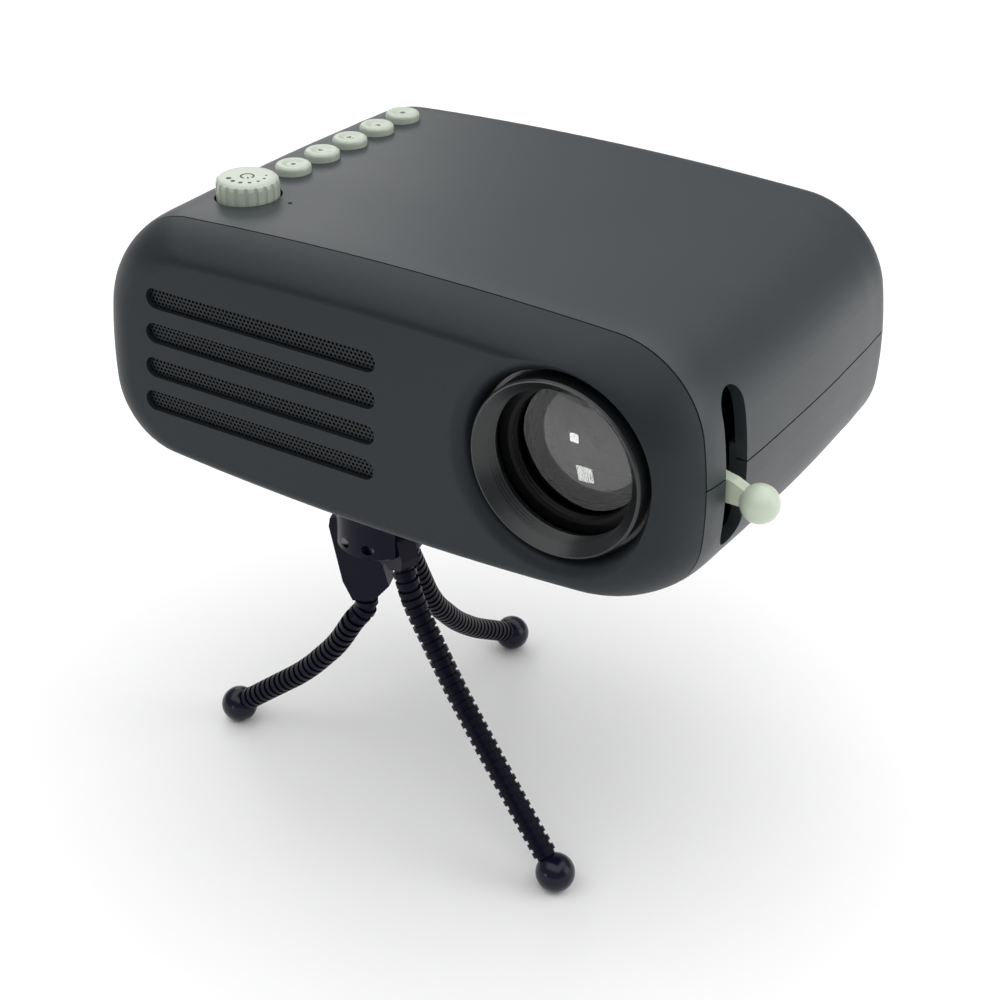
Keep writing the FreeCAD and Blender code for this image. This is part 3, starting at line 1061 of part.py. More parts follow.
for side, (heading, swing, is_long, route, foot) in LEGS.items():
    turn = Rotation(Vector(0, 0, 1), heading).multiply(Rotation(Vector(0, 1, 0), -swing))
    length = "bracket_length" if is_long else "short_length"
    bracket_tools = [
        cylinder(f"{side}_bracket_bore", "hinge_pin + running_play", "2 * bracket_thickness",
                 ("0", "-bracket_thickness", "0"), "y"),
        cylinder(f"{side}_leg_socket", "leg_core", "plug_depth + 1", ("0", "0", f"-{length} - 1"))]
    piece(f"{side}_leg_bracket", cut(f"{side}_bracket", bracket_form(side, is_long), bracket_tools),
          (f"mount_x + pin_reach * cos({heading})", f"mount_y + pin_reach * sin({heading})", PIN_LEVEL), turn)
    reach = Rotation(Vector(0, 0, 1), heading).multVec(Vector(number("pin_reach"), 0, 0))
    pivot = Vector(number("mount_x"), number("mount_y"), number(PIN_LEVEL)) + reach
    down = turn.multVec(Vector(0, 0, -1))
    tip = pivot + down * number(length)
    root = tip - down * number("plug_depth")
    below = tip + down * (0.7 * number("plug_depth"))
    foot_centre = Vector(foot[0], foot[1], number("foot_level"))
    leg = leg_shape([root, below] + [Vector(*spot) for spot in route] + [foot_centre],
                    number("plug_depth + rib_pitch * 0.6"), number("foot_radius"))
    piece(f"{side}_leg", solid(f"{side}_leg_form", leg))
    globe = Part.makeSphere(number("foot_radius"), foot_centre).cut(leg)
    piece(f"{side}_foot", solid(f"{side}_foot_form", globe))

# ---------------------------------------------------------------- check and write
doc.recompute()
faults = [item.Name for item in doc.Objects if {"Invalid", "Error"} & set(item.State)]
for node, item in pieces.items():
    if item.Shape.isNull() or not item.Shape.isValid() or not item.Shape.Solids:
        faults.append(node)
if faults:
    raise RuntimeError("not sound: " + ", ".join(faults))
os.makedirs("parts", exist_ok=True)
for node, item in pieces.items():
    item.Shape.exportStep(f"parts/{node}.step")
    print(f"{node}: {len(item.Shape.Solids)} solid(s), {item.Shape.Volume:.0f} mm3")
print(len(pieces), "pieces")
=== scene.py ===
# %% [markdown]
# # Mini projector on a flexible tripod
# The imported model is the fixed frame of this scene: its pieces are never moved or reshaped here. They get
# their finishes, the small printed marks and the punched grille sheet, then a floor, lights and a camera.
# Blender works in metres, so `MM` turns the millimetres that a maker thinks in into metres.

# %% Load the frame
import bmesh
import bpy
import json
import math
from mathutils import Matrix, Vector


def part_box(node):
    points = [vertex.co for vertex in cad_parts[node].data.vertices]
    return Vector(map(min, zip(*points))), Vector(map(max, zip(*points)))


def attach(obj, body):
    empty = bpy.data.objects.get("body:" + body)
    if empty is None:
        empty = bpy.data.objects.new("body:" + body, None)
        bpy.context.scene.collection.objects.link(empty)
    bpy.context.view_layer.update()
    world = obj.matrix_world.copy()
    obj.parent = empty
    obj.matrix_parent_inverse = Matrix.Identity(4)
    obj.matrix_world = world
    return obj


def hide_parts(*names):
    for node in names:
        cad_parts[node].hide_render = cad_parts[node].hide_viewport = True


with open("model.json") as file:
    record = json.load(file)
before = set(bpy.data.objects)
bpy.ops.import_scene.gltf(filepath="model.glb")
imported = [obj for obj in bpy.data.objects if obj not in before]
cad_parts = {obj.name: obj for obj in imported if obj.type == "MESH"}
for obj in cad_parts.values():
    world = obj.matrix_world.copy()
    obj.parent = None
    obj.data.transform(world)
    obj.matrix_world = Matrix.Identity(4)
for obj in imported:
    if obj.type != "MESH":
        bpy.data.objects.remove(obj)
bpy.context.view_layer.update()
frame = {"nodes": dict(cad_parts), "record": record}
MM = 0.001

# %% [markdown]
# ## Helpers for finishes
# A finish is a small network of nodes around one Principled shader. Every colour is written as the sRGB
# hex value that a paint chart would give, and one function turns it into the linear light that shaders
# work in. One more function adds any node with its settings, values and links, so that each finish below
# reads as a short recipe.

# %% Colour and node helpers
def linear(hex_colour):
    """An sRGB hex colour as linear red, green, blue and alpha."""
    shares = [int(hex_colour[place:place + 2], 16) / 255 for place in (1, 3, 5)]
    return tuple(s / 12.92 if s <= 0.04045 else ((s + 0.055) / 1.055) ** 2.4 for s in shares) + (1.0,)


def add_node(tree, kind, values=None, links=None, **settings):
    """A node with its settings, the values of its sockets and the outputs that feed them."""
    node = tree.nodes.new(kind)
    for setting, value in settings.items():
        setattr(node, setting, value)
    for socket, value in (values or {}).items():
        node.inputs[socket].default_value = value
    for socket, output in (links or {}).items():
        tree.links.new(output, node.inputs[socket])
    return node


def new_finish(name, values):
    """An empty finish: its material, its node tree and its shader with constant values set."""
    finish = bpy.data.materials.new(name)
    finish.use_nodes = True
    shader = finish.node_tree.nodes["Principled BSDF"]
    for socket, value in values.items():
        shader.inputs[socket].default_value = value
    return finish, finish.node_tree, shader


finishes = {}
print("white in linear light:", linear("#ffffff")[:3])

# %% [markdown]
# ## Moulded plastic
# Most of what one sees is injection-moulded ABS. Its mould was spark-eroded, which leaves a fine, even
# grain, and the melt cools a little unevenly, so tone and gloss drift slowly over some 20 mm. A flat
# colour would look like a drawing. Two noises at those real scales give it away as plastic: fine grain in
# the bump, and slow clouds that shift both the tone and the gloss. The grain of 0.3 mm is slightly coarser
# than the real one, so that it shows at this size.

# %% Moulded plastic recipe
CLOUD_SIZE = 22 * MM
PLASTIC_GLOSS_DRIFT = 0.05


def moulded(name, colour, dark, roughness, grain=0.3, depth=0.012, specular=0.5, coat=0.0):
    """Moulded plastic, with its grain and the depth of the grain in millimetres."""
    finish, tree, shader = new_finish(name, {"IOR": 1.5, "Specular IOR Level": specular, "Coat Weight": coat,
                                             "Coat Roughness": 0.2})
    place = add_node(tree, "ShaderNodeTexCoord")
    specks = add_node(tree, "ShaderNodeTexNoise", {"Scale": 1 / (grain * MM), "Detail": 2.0},
                      {"Vector": place.outputs["Object"]})
    clouds = add_node(tree, "ShaderNodeTexNoise", {"Scale": 1 / CLOUD_SIZE, "Detail": 2.0},
                      {"Vector": place.outputs["Object"]})
    tone = add_node(tree, "ShaderNodeMixRGB", {"Color1": linear(dark), "Color2": linear(colour)},
                    {"Fac": clouds.outputs["Fac"]})
    gloss = add_node(tree, "ShaderNodeMapRange",
                     {"To Min": roughness - PLASTIC_GLOSS_DRIFT, "To Max": roughness + PLASTIC_GLOSS_DRIFT},
                     {"Value": clouds.outputs["Fac"]})
    bump = add_node(tree, "ShaderNodeBump", {"Strength": 0.6, "Distance": depth * MM},
                    {"Height": specks.outputs["Fac"]})
    tree.links.new(tone.outputs["Color"], shader.inputs["Base Color"])
    tree.links.new(gloss.outputs["Result"], shader.inputs["Roughness"])
    tree.links.new(bump.outputs["Normal"], shader.inputs["Normal"])
    return finish


# satin charcoal ABS: the soft grain spreads highlights into a broad sheen, which is weaker on the bezel; the
# bezel's colour is also darker than the casing's, painted shade for its front face, which the lamps light
# less
finishes["casing_charcoal"] = moulded("spark_textured_abs_casing", "#2c3236", "#282e32", 0.42)
finishes["bezel_charcoal"] = moulded("spark_textured_abs_bezel_painted_shade", "#24292d", "#202529", 0.44,
                                     specular=0.2)
# black ABS of the socket panel, a touch rougher
finishes["panel_black"] = moulded("moulded_abs_socket_panel", "#1f2224", "#1b1e20", 0.55)
# polished cream ABS of the keys and the knob, and pale green of the lever: almost no grain
finishes["key_cream"] = moulded("polished_cream_abs", "#b9c2b4", "#b1baac", 0.32, depth=0.003)
finishes["focus_green"] = moulded("polished_pale_green_abs", "#c9d5c1", "#c1cdb9", 0.3, depth=0.002)
# pad-printed inks: black on the knob, a paler grey on the keys
finishes["ink_black"] = moulded("pad_printed_black_ink", "#23262a", "#1d2024", 0.5, depth=0.002)
finishes["ink_grey"] = moulded("pad_printed_grey_ink", "#646b64", "#5a615a", 0.55, depth=0.002)
# satin and matt black parts around the lens
finishes["ring_black"] = moulded("satin_black_polycarbonate", "#1a1d1f", "#171a1c", 0.28, depth=0.004)
finishes["lens_black"] = moulded("matt_black_lens_barrel", "#0b0c0d", "#090a0b", 0.5, depth=0.006,
                                 specular=0.2)
# coarser, glass-filled plastics of the light engine and the fan, then the jack and the chips
finishes["engine_black"] = moulded("glass_filled_nylon", "#17191a", "#131516", 0.6, grain=0.5, depth=0.03)
finishes["fan_black"] = moulded("glass_filled_polyester_fan", "#1b1d1f", "#17191b", 0.5, grain=0.5,
                                depth=0.02)
finishes["jack_black"] = moulded("moulded_nylon_jack", "#151617", "#121314", 0.5, grain=0.4)
finishes["chip_black"] = moulded("moulded_epoxy_chip", "#202224", "#1c1e20", 0.6, grain=0.2, depth=0.01)
print("moulded finishes:", len(finishes))

# %% [markdown]
# ## Tripod plastics
# The tripod head and the brackets are glossy navy ABS, so dark that they read as black until light grazes
# them. The goosenecks carry a thin PVC skin over their steel winding, which is softer and less glossy,
# and the feet are dipped in the same PVC, thick and shiny.

# %% Tripod finishes
finishes["tripod_navy"] = moulded("polished_navy_abs", "#0a0a20", "#08081a", 0.3, depth=0.003, specular=0.12)
finishes["leg_navy"] = moulded("pvc_coated_gooseneck", "#0a0a1e", "#070716", 0.36, grain=0.6, depth=0.01,
                               specular=0.1)
finishes["foot_navy"] = moulded("dipped_pvc_foot", "#0c0c24", "#09091e", 0.22, grain=1.2, depth=0.006,
                                specular=0.25, coat=0.1)

# %% [markdown]
# ## Rubber and foam
# The pads under the casing are black rubber: rough, with a pebbled skin. The gasket behind the grille is
# open-cell foam. Its cells are some 0.4 mm wide, which a Voronoi pattern gives as the real foam does:
# bubbles that met and pressed flat against each other.

# %% Rubber and foam recipes
FOAM_CELL = 0.4 * MM
PORE_DEPTH = 0.15 * MM
finishes["pad_rubber"] = moulded("moulded_rubber_pad", "#1c1d1e", "#181919", 0.78, grain=0.4, depth=0.05)

finish, tree, shader = new_finish("open_cell_foam", {"IOR": 1.45, "Roughness": 0.95,
                                                    "Specular IOR Level": 0.2})
place = add_node(tree, "ShaderNodeTexCoord")
bubbles = add_node(tree, "ShaderNodeTexVoronoi", {"Scale": 1 / FOAM_CELL},
                   {"Vector": place.outputs["Object"]}, feature="DISTANCE_TO_EDGE")
# the colour darkens towards the middle of each cell: painted shade in the pores, lighter on the walls
painted_pore_shade = add_node(tree, "ShaderNodeMapRange", {"From Max": 0.25}, {"Value": bubbles.outputs["Distance"]})
tone = add_node(tree, "ShaderNodeMixRGB", {"Color1": linear("#34363a"), "Color2": linear("#17181a")},
                {"Fac": painted_pore_shade.outputs["Result"]})
pores = add_node(tree, "ShaderNodeBump", {"Strength": 0.8, "Distance": PORE_DEPTH},
                 {"Height": bubbles.outputs["Distance"]}, invert=True)
tree.links.new(tone.outputs["Color"], shader.inputs["Base Color"])
tree.links.new(pores.outputs["Normal"], shader.inputs["Normal"])
finishes["gasket_foam"] = finish
print("soft finishes: pad_rubber, gasket_foam")

# %% [markdown]
# ## Metal
# Metals differ less in colour than in how they were worked. Drawn, rolled or machined stock keeps fine
# lines along the work, so a noise is stretched along one axis and drives both gloss and bump. `lines`
# gives how wide the lines are on each axis, in millimetres: a large number along the work, a small one
# across it.

# %% Worked metal recipe
METAL_GLOSS_DRIFT = 0.1


def worked_metal(name, colour, dark, roughness, lines, depth=0.006):
    """Worked metal, with the size of its lines on each axis and their depth in millimetres."""
    finish, tree, shader = new_finish(name, {"Metallic": 1.0})
    place = add_node(tree, "ShaderNodeTexCoord")
    stretch = add_node(tree, "ShaderNodeMapping", {"Scale": [1 / (width * MM) for width in lines]},
                       {"Vector": place.outputs["Object"]})
    marks = add_node(tree, "ShaderNodeTexNoise", {"Scale": 1.0, "Detail": 3.0},
                     {"Vector": stretch.outputs["Vector"]})
    tone = add_node(tree, "ShaderNodeMixRGB", {"Color1": linear(dark), "Color2": linear(colour)},
                    {"Fac": marks.outputs["Fac"]})
    gloss = add_node(tree, "ShaderNodeMapRange",
                     {"To Min": roughness - METAL_GLOSS_DRIFT, "To Max": roughness + METAL_GLOSS_DRIFT},
                     {"Value": marks.outputs["Fac"]})
    bump = add_node(tree, "ShaderNodeBump", {"Strength": 0.5, "Distance": depth * MM},
                    {"Height": marks.outputs["Fac"]})
    tree.links.new(tone.outputs["Color"], shader.inputs["Base Color"])
    tree.links.new(gloss.outputs["Result"], shader.inputs["Roughness"])
    tree.links.new(bump.outputs["Normal"], shader.inputs["Normal"])
    return finish


# extruded aluminium: lines run up and down the fins
finishes["sink_aluminium"] = worked_metal("extruded_aluminium", "#c9ccce", "#b4b7ba", 0.38, (0.3, 0.3, 20))
# stamped, tin-plated steel of the socket shells: lines along the plug's way in
finishes["socket_steel"] = worked_metal("stamped_tinned_steel", "#c2c4c5", "#a9abad", 0.3, (0.4, 15, 0.4))
# black-zinc steel screws and the drawn steel cap of each switch
finishes["screw_steel"] = worked_metal("black_zinc_screw_steel", "#6c6e70", "#505254", 0.34, (0.3, 0.3, 2))
finishes["switch_steel"] = worked_metal("stamped_switch_steel", "#b5b7b8", "#9a9c9e", 0.36, (4, 0.3, 0.3))
# pressed and plated steel of the loudspeaker, turned steel of shafts and studs, turned brass
finishes["speaker_steel"] = worked_metal("pressed_plated_steel", "#8e9193", "#6f7274", 0.42, (1.2, 1.2, 1.2))
finishes["shaft_metal"] = worked_metal("turned_steel_stud", "#b9bbbc", "#9c9ea0", 0.28, (6, 6, 0.15))
finishes["insert_brass"] = worked_metal("knurled_brass", "#c9a559", "#a98943", 0.3, (6, 6, 0.2))
# painted sheet steel of the grille: the paint hides the metal, and only a trace of its rolling shows
finishes["mesh_black"] = moulded("painted_punched_steel", "#1b1f22", "#171b1e", 0.42, grain=0.2, depth=0.004,
                                 specular=0.25)
print("metal finishes:", [name for name in finishes if "steel" in name or "brass" in name])

# %% [markdown]
# ## Glass and clear plastic
# The front lens is dense flint glass, whose high refractive index makes it mirror its surroundings more
# strongly than window glass does. The inner lenses and the heat filter are plain crown glass. A surface
# is never quite clean, so a slow noise raises the roughness by a hair. The Fresnel plates are pressed
# acrylic, whose ring grooves are 0.5 mm apart and very shallow.

# %% Glass recipes
HAZE_SIZE = 6 * MM
HAZE_ROUGHNESS = 0.02
GROOVE_PITCH = 0.5 * MM
GROOVE_DEPTH = 0.02 * MM
WAVE_FACTOR = 20  # the wave node multiplies the distance by this, and one ring is a full turn, tau


def clear_body(name, colour, ior, roughness):
    """Glass or clear plastic, which light passes through and which a faint haze covers."""
    finish, tree, shader = new_finish(name, {"IOR": ior, "Transmission Weight": 1.0,
                                             "Base Color": linear(colour)})
    place = add_node(tree, "ShaderNodeTexCoord")
    haze = add_node(tree, "ShaderNodeTexNoise", {"Scale": 1 / HAZE_SIZE, "Detail": 3.0},
                    {"Vector": place.outputs["Object"]})
    gloss = add_node(tree, "ShaderNodeMapRange", {"To Min": roughness, "To Max": roughness + HAZE_ROUGHNESS},
                     {"Value": haze.outputs["Fac"]})
    tree.links.new(gloss.outputs["Result"], shader.inputs["Roughness"])
    return finish, tree, shader


finishes["coated_glass"] = clear_body("polished_flint_glass", "#f2f4f2", 1.6, 0.0)[0]
finishes["clear_glass"] = clear_body("polished_lens_glass", "#f4f7f5", 1.52, 0.0)[0]
finishes["pipe_clear"] = clear_body("moulded_acrylic_light_guide", "#f2f4f4", 1.49, 0.05)[0]

finish, tree, shader = clear_body("pressed_acrylic_fresnel", "#f5f6f6", 1.49, 0.02)
plate_low, plate_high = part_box("fresnel_lenses")
place = add_node(tree, "ShaderNodeTexCoord")
centred = add_node(tree, "ShaderNodeMapping", {"Location": -(plate_low + plate_high) / 2},
                   {"Vector": place.outputs["Object"]})
grooves = add_node(tree, "ShaderNodeTexWave", {"Scale": math.tau / WAVE_FACTOR / GROOVE_PITCH},
                   {"Vector": centred.outputs["Vector"]},
                   wave_type="RINGS", rings_direction="Y", wave_profile="SAW")
bump = add_node(tree, "ShaderNodeBump", {"Strength": 0.3, "Distance": GROOVE_DEPTH},
                {"Height": grooves.outputs["Fac"]})
tree.links.new(bump.outputs["Normal"], shader.inputs["Normal"])
finishes["fresnel_clear"] = finish
print("glass finishes: coated_glass, clear_glass, pipe_clear, fresnel_clear")

# %% [markdown]
# ## Picture panel, lamp and board
# The picture panel is dark polarised glass over a grid of pixels. The real pitch is far below what shows,
# so the grid is drawn at 0.4 mm. The lamp is a white star board that carries a block of yellow phosphor.
# The circuit boards are glass fibre under a green solder mask, through which copper tracks show as
# slightly raised, paler lines.

# %% Panel, lamp and board recipes
PIXEL_PITCH = 0.4 * MM
PHOSPHOR_HALF = 3.6 * MM
TRACK_SPACING = 3.2 * MM
TRACK_SHARE = 0.07
TRACK_HEIGHT = 0.035 * MM
finish, tree, shader = new_finish("polarised_picture_panel", {"IOR": 1.52, "Roughness": 0.06})
place = add_node(tree, "ShaderNodeTexCoord")
upright_grid = add_node(tree, "ShaderNodeMapping", {"Rotation": (math.pi / 2, 0, 0)},
                        {"Vector": place.outputs["Object"]})
pixels = add_node(tree, "ShaderNodeTexBrick",
                  {"Color1": linear("#101318"), "Color2": linear("#12161c"), "Mortar": linear("#050607"),
                   "Scale": 1 / PIXEL_PITCH, "Mortar Size": 0.08, "Brick Width": 1.0, "Row Height": 1.0},
                  {"Vector": upright_grid.outputs["Vector"]}, offset=0.0)
tree.links.new(pixels.outputs["Color"], shader.inputs["Base Color"])
finishes["lcd_dark"] = finish

finish, tree, shader = new_finish("yellow_phosphor_lamp", {"IOR": 1.5, "Roughness": 0.45})
place = add_node(tree, "ShaderNodeTexCoord")
lamp_low, lamp_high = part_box("led_module")
centred = add_node(tree, "ShaderNodeMapping", {"Location": -(lamp_low + lamp_high) / 2},
                   {"Vector": place.outputs["Object"]})
across = add_node(tree, "ShaderNodeSeparateXYZ", links={"Vector": centred.outputs["Vector"]})
sideways = add_node(tree, "ShaderNodeMath", links={0: across.outputs["X"]}, operation="ABSOLUTE")
upwards = add_node(tree, "ShaderNodeMath", links={0: across.outputs["Z"]}, operation="ABSOLUTE")
square = add_node(tree, "ShaderNodeMath", links={0: sideways.outputs[0], 1: upwards.outputs[0]},
                  operation="MAXIMUM")
beyond = add_node(tree, "ShaderNodeMath", {1: PHOSPHOR_HALF}, {0: square.outputs[0]},
                  operation="GREATER_THAN")
tone = add_node(tree, "ShaderNodeMixRGB", {"Color1": linear("#e2c94a"), "Color2": linear("#e9ebea")},
                {"Fac": beyond.outputs[0]})
tree.links.new(tone.outputs["Color"], shader.inputs["Base Color"])
finishes["led_yellow"] = finish

finish, tree, shader = new_finish("solder_masked_fibreglass", {"IOR": 1.55, "Roughness": 0.35})
place = add_node(tree, "ShaderNodeTexCoord")
tracks = add_node(tree, "ShaderNodeTexVoronoi", {"Scale": 1 / TRACK_SPACING},
                  {"Vector": place.outputs["Object"]}, feature="DISTANCE_TO_EDGE")
copper = add_node(tree, "ShaderNodeMath", {1: TRACK_SHARE}, {0: tracks.outputs["Distance"]},
                  operation="LESS_THAN")
tone = add_node(tree, "ShaderNodeMixRGB", {"Color1": linear("#14492f"), "Color2": linear("#2b6b45")},
                {"Fac": copper.outputs[0]})
bump = add_node(tree, "ShaderNodeBump", {"Strength": 0.5, "Distance": TRACK_HEIGHT},
                {"Height": copper.outputs[0]})
tree.links.new(tone.outputs["Color"], shader.inputs["Base Color"])
tree.links.new(bump.outputs["Normal"], shader.inputs["Normal"])
finishes["board_green"] = finish
print("electronic finishes: lcd_dark, led_yellow, board_green")

# %% [markdown]
# ## Dress the pieces
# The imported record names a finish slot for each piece, so one loop gives every piece its finish. The
# meshes themselves stay as they are.

# %% Give each piece its finish
for part in frame["record"]["subparts"]:
    mesh = frame["nodes"][part["node"]].data
    mesh.materials.clear()
    mesh.materials.append(finishes[part["material_slot"]])

# %% [markdown]
# ## Helpers for new pieces
# New pieces are modelled as by hand: a primitive, edit-mode tools, then modifiers that are applied. An
# operator acts on whatever is selected, so each piece starts with nothing selected. At the end a piece
# goes to its place in its mesh, so that its object stays at the origin, and it rides on the body that
# carries it.

# %% Modelling helpers
def start_piece():
    """Leave edit mode and deselect everything, so that the next operator acts on the new piece only."""
    if bpy.context.object and bpy.context.object.mode == "EDIT":
        bpy.ops.object.mode_set(mode="OBJECT")
    bpy.ops.object.select_all(action="DESELECT")


def select_where(piece, test):
    """In edit mode, select the vertices whose place passes a test."""
    mesh = bmesh.from_edit_mesh(piece.data)
    for vertex in mesh.verts:
        vertex.select = test(vertex.co)
    mesh.select_flush_mode()
    bmesh.update_edit_mesh(piece.data)


def apply_modifier(piece, kind, **settings):
    """Add a modifier with its settings and apply it at once."""
    modifier = piece.modifiers.new(kind.lower(), kind)
    for setting, value in settings.items():
        setattr(modifier, setting, value)
    bpy.ops.object.modifier_apply(modifier=modifier.name)


def finish_piece(piece, name, body, finish, shift=(0, 0, 0)):
    """Name a piece, put its place into its mesh, give it its finish and let it ride on its body."""
    piece.name = name
    piece.location = piece.location + Vector(shift)
    bpy.ops.object.transform_apply(location=True, rotation=True, scale=True)
    piece.data.materials.clear()
    piece.data.materials.append(finishes[finish])
    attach(piece, body)
    print(name, "has", len(piece.data.polygons), "faces")


# %% [markdown]
# ## Punched grille sheet
# Behind the four slots lies sheet steel with staggered round holes, through which the sound passes. It
# could be a plain plate with dots painted by a material, but the holes catch light on their walls and
# show the dark behind, so they are real here. One cell is modelled: an eight-sided hole in a rectangle.
# Arrays repeat it along a row, shift the next row by half a pitch and stack the pairs, and because the
# rim of a cell has points at its corners and at the middles of its sides, shifted rows meet point to
# point and merge into one clean sheet. The holes are 0.56 mm wide at a pitch of 0.85 mm.

# %% One cell of the sheet
HOLE_PITCH = 0.85 * MM
HOLE_RADIUS = 0.28 * MM
ROW_PITCH = 0.87 * HOLE_PITCH
SHEET_THICKNESS = 0.45 * MM
SHEET_MARGIN = 0.4 * MM
MERGE_DISTANCE = 0.01 * MM
HOLE_CORNERS = 8
sheet_low, sheet_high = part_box("grille_mesh")
start_piece()
bpy.ops.mesh.primitive_circle_add(vertices=HOLE_CORNERS, radius=HOLE_RADIUS)
sheet = bpy.context.object
bpy.ops.object.mode_set(mode="EDIT")
bpy.ops.mesh.extrude_edges_move()
bpy.ops.transform.resize(value=(HOLE_PITCH / 2 / HOLE_RADIUS, ROW_PITCH / 2 / HOLE_RADIUS, 1))
select_where(sheet, lambda spot: abs(spot.x) > HOLE_PITCH / 4 and abs(spot.y) > ROW_PITCH / 4)
bpy.ops.transform.resize(value=(math.sqrt(2), math.sqrt(2), 1))
bpy.ops.mesh.select_all(action="SELECT")
bpy.ops.transform.rotate(value=math.pi / 2, orient_axis="X", center_override=(0, 0, 0))
bpy.ops.object.mode_set(mode="OBJECT")
print("one cell:", len(sheet.data.polygons), "faces")

# %% Repeat the cell
columns = int((sheet_high.x - sheet_low.x - 2 * SHEET_MARGIN) / HOLE_PITCH)
row_pairs = int((sheet_high.z - sheet_low.z - 2 * SHEET_MARGIN) / ROW_PITCH / 2)
for count, offset in ((columns, (HOLE_PITCH, 0, 0)), (2, (HOLE_PITCH / 2, 0, ROW_PITCH)),
                      (row_pairs, (0, 0, 2 * ROW_PITCH))):
    apply_modifier(sheet, "ARRAY", count=count, use_relative_offset=False, use_constant_offset=True,
                   constant_offset_displace=offset, use_merge_vertices=True, merge_threshold=MERGE_DISTANCE)
apply_modifier(sheet, "SOLIDIFY", thickness=SHEET_THICKNESS, offset=0)
first_hole = Vector(((sheet_low.x + sheet_high.x - (columns - 0.5) * HOLE_PITCH) / 2,
                     (sheet_low.y + sheet_high.y) / 2,
                     (sheet_low.z + sheet_high.z - (2 * row_pairs - 1) * ROW_PITCH) / 2))
finish_piece(sheet, "punched_grille_sheet", "casing", "mesh_black", first_hole)
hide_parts("grille_mesh")
print("holes:", 2 * columns * row_pairs)

# %% [markdown]
# ## Printed marks on the knob
# The knob's top carries a power symbol, an arc with a bar in its opening, and seven dots that grow around
# its front edge from quiet to loud. They are pad-printed ink, so each is a flat shape of a few hundredths
# of a millimetre, modelled lying on the knob and riding with it. `KNOB_FACES` is the way that the knob
# stands at rest: the heading of the bar, in degrees from the X axis.

# %% Ink helpers
INK = 0.04 * MM
knob_low, knob_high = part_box("volume_knob")
knob_middle = (knob_low + knob_high) / 2
knob_top = Vector((knob_middle.x, knob_middle.y, knob_high.z))
KNOB_FACES = 316.0


def ink_dot(width, spot, corners=20, stretch=(1, 1), heading=0.0):
    """A flat filled shape, to be joined with others and thickened into ink."""
    bpy.ops.mesh.primitive_circle_add(vertices=corners, radius=width / 2, fill_type="NGON", location=spot)
    dot = bpy.context.object
    bpy.ops.object.mode_set(mode="EDIT")
    bpy.ops.transform.resize(value=(stretch[0], stretch[1], 1))
    bpy.ops.transform.rotate(value=-math.radians(heading), orient_axis="Z", center_override=spot)
    bpy.ops.object.mode_set(mode="OBJECT")
    return dot


def ink_print(shapes, name, body, ink="ink_black"):
    """Join flat shapes, thicken them into ink that just sinks into the face, and let them ride."""
    bpy.ops.object.select_all(action="DESELECT")
    for shape in shapes:
        shape.select_set(True)
    bpy.context.view_layer.objects.active = shapes[0]
    if len(shapes) > 1:
        bpy.ops.object.join()
    apply_modifier(shapes[0], "SOLIDIFY", thickness=INK, offset=0.5)
    finish_piece(shapes[0], name, body, ink)


# %% Dots that grow
DOT_COUNT = 7
DOT_SPREAD = 28  # degrees from one dot to the next
DOT_CIRCLE = 3.45
LARGEST_DOT = 0.98
DOT_SHRINK = 0.09
start_piece()
dots = []
for step in range(DOT_COUNT):
    heading = math.radians(KNOB_FACES + DOT_SPREAD * (step - DOT_COUNT // 2))
    width = (LARGEST_DOT - DOT_SHRINK * step) * MM
    spot = knob_top + Vector((math.cos(heading), math.sin(heading), 0)) * DOT_CIRCLE * MM
    dots.append(ink_dot(width, spot))
ink_print(dots, "knob_level_dots", "volume_knob")

# %% Power symbol
ARC_RADIUS = 1.35
ARC_OPENING = 32  # degrees to either side of the bar
ARC_INNER_SHARE = 0.76
BAR_WIDTH = 0.34
BAR_STRETCH = 2.6
BAR_PLACE = 0.95
start_piece()
bpy.ops.mesh.primitive_circle_add(vertices=40, radius=ARC_RADIUS * MM, location=knob_top)
arc = bpy.context.object
bpy.ops.object.mode_set(mode="EDIT")
facing = Vector((math.cos(math.radians(KNOB_FACES)), math.sin(math.radians(KNOB_FACES)), 0))
select_where(arc, lambda spot: spot.normalized().dot(facing) > math.cos(math.radians(ARC_OPENING)))
bpy.ops.mesh.delete(type="VERT")
bpy.ops.mesh.select_all(action="SELECT")
bpy.ops.mesh.extrude_edges_move()
bpy.ops.transform.resize(value=(ARC_INNER_SHARE, ARC_INNER_SHARE, 1), center_override=knob_top)
bpy.ops.object.mode_set(mode="OBJECT")
bar = ink_dot(BAR_WIDTH * MM, knob_top + facing * BAR_PLACE * MM, corners=12, stretch=(BAR_STRETCH, 1),
              heading=KNOB_FACES)
ink_print([arc, bar], "knob_power_mark", "volume_knob")

# %% [markdown]
# ## Printed marks on the keys
# Each key has a small grey symbol in its dish: a menu square, a step back, a play triangle, a step
# forward and a round source dot. Plain triangles, bars and dots are enough at this size of a bit over a
# millimetre. The ink lies in the dish, a quarter of a millimetre below the rim of the cap.

# %% Key symbols
KEY_DISH = 0.25 * MM
MARK_SIZE = 1.3
# for each shape: its width, its place along the key, its number of corners and its heading in degrees
SYMBOLS = {
    "menu_button": [(0.9, 0.0, 4, 45)],
    "back_button": [(0.95, -0.25, 3, 180), (0.34, -0.62, 4, 45)],
    "play_button": [(1.1, -0.1, 3, 0), (0.3, 0.6, 4, 45)],
    "forward_button": [(0.95, 0.25, 3, 0), (0.34, 0.62, 4, 45)],
    "source_button": [(0.85, 0.0, 16, 0)],
}
for key, shapes in SYMBOLS.items():
    start_piece()
    key_low, key_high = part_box(key)
    middle = (key_low + key_high) / 2
    inked = []
    for width, along, corners, heading in shapes:
        spot = Vector((middle.x + along * MARK_SIZE * MM, middle.y, key_high.z - KEY_DISH))
        inked.append(ink_dot(width * MARK_SIZE * MM, spot, corners=corners, heading=heading))
    ink_print(inked, key.replace("button", "mark"), key, "ink_grey")

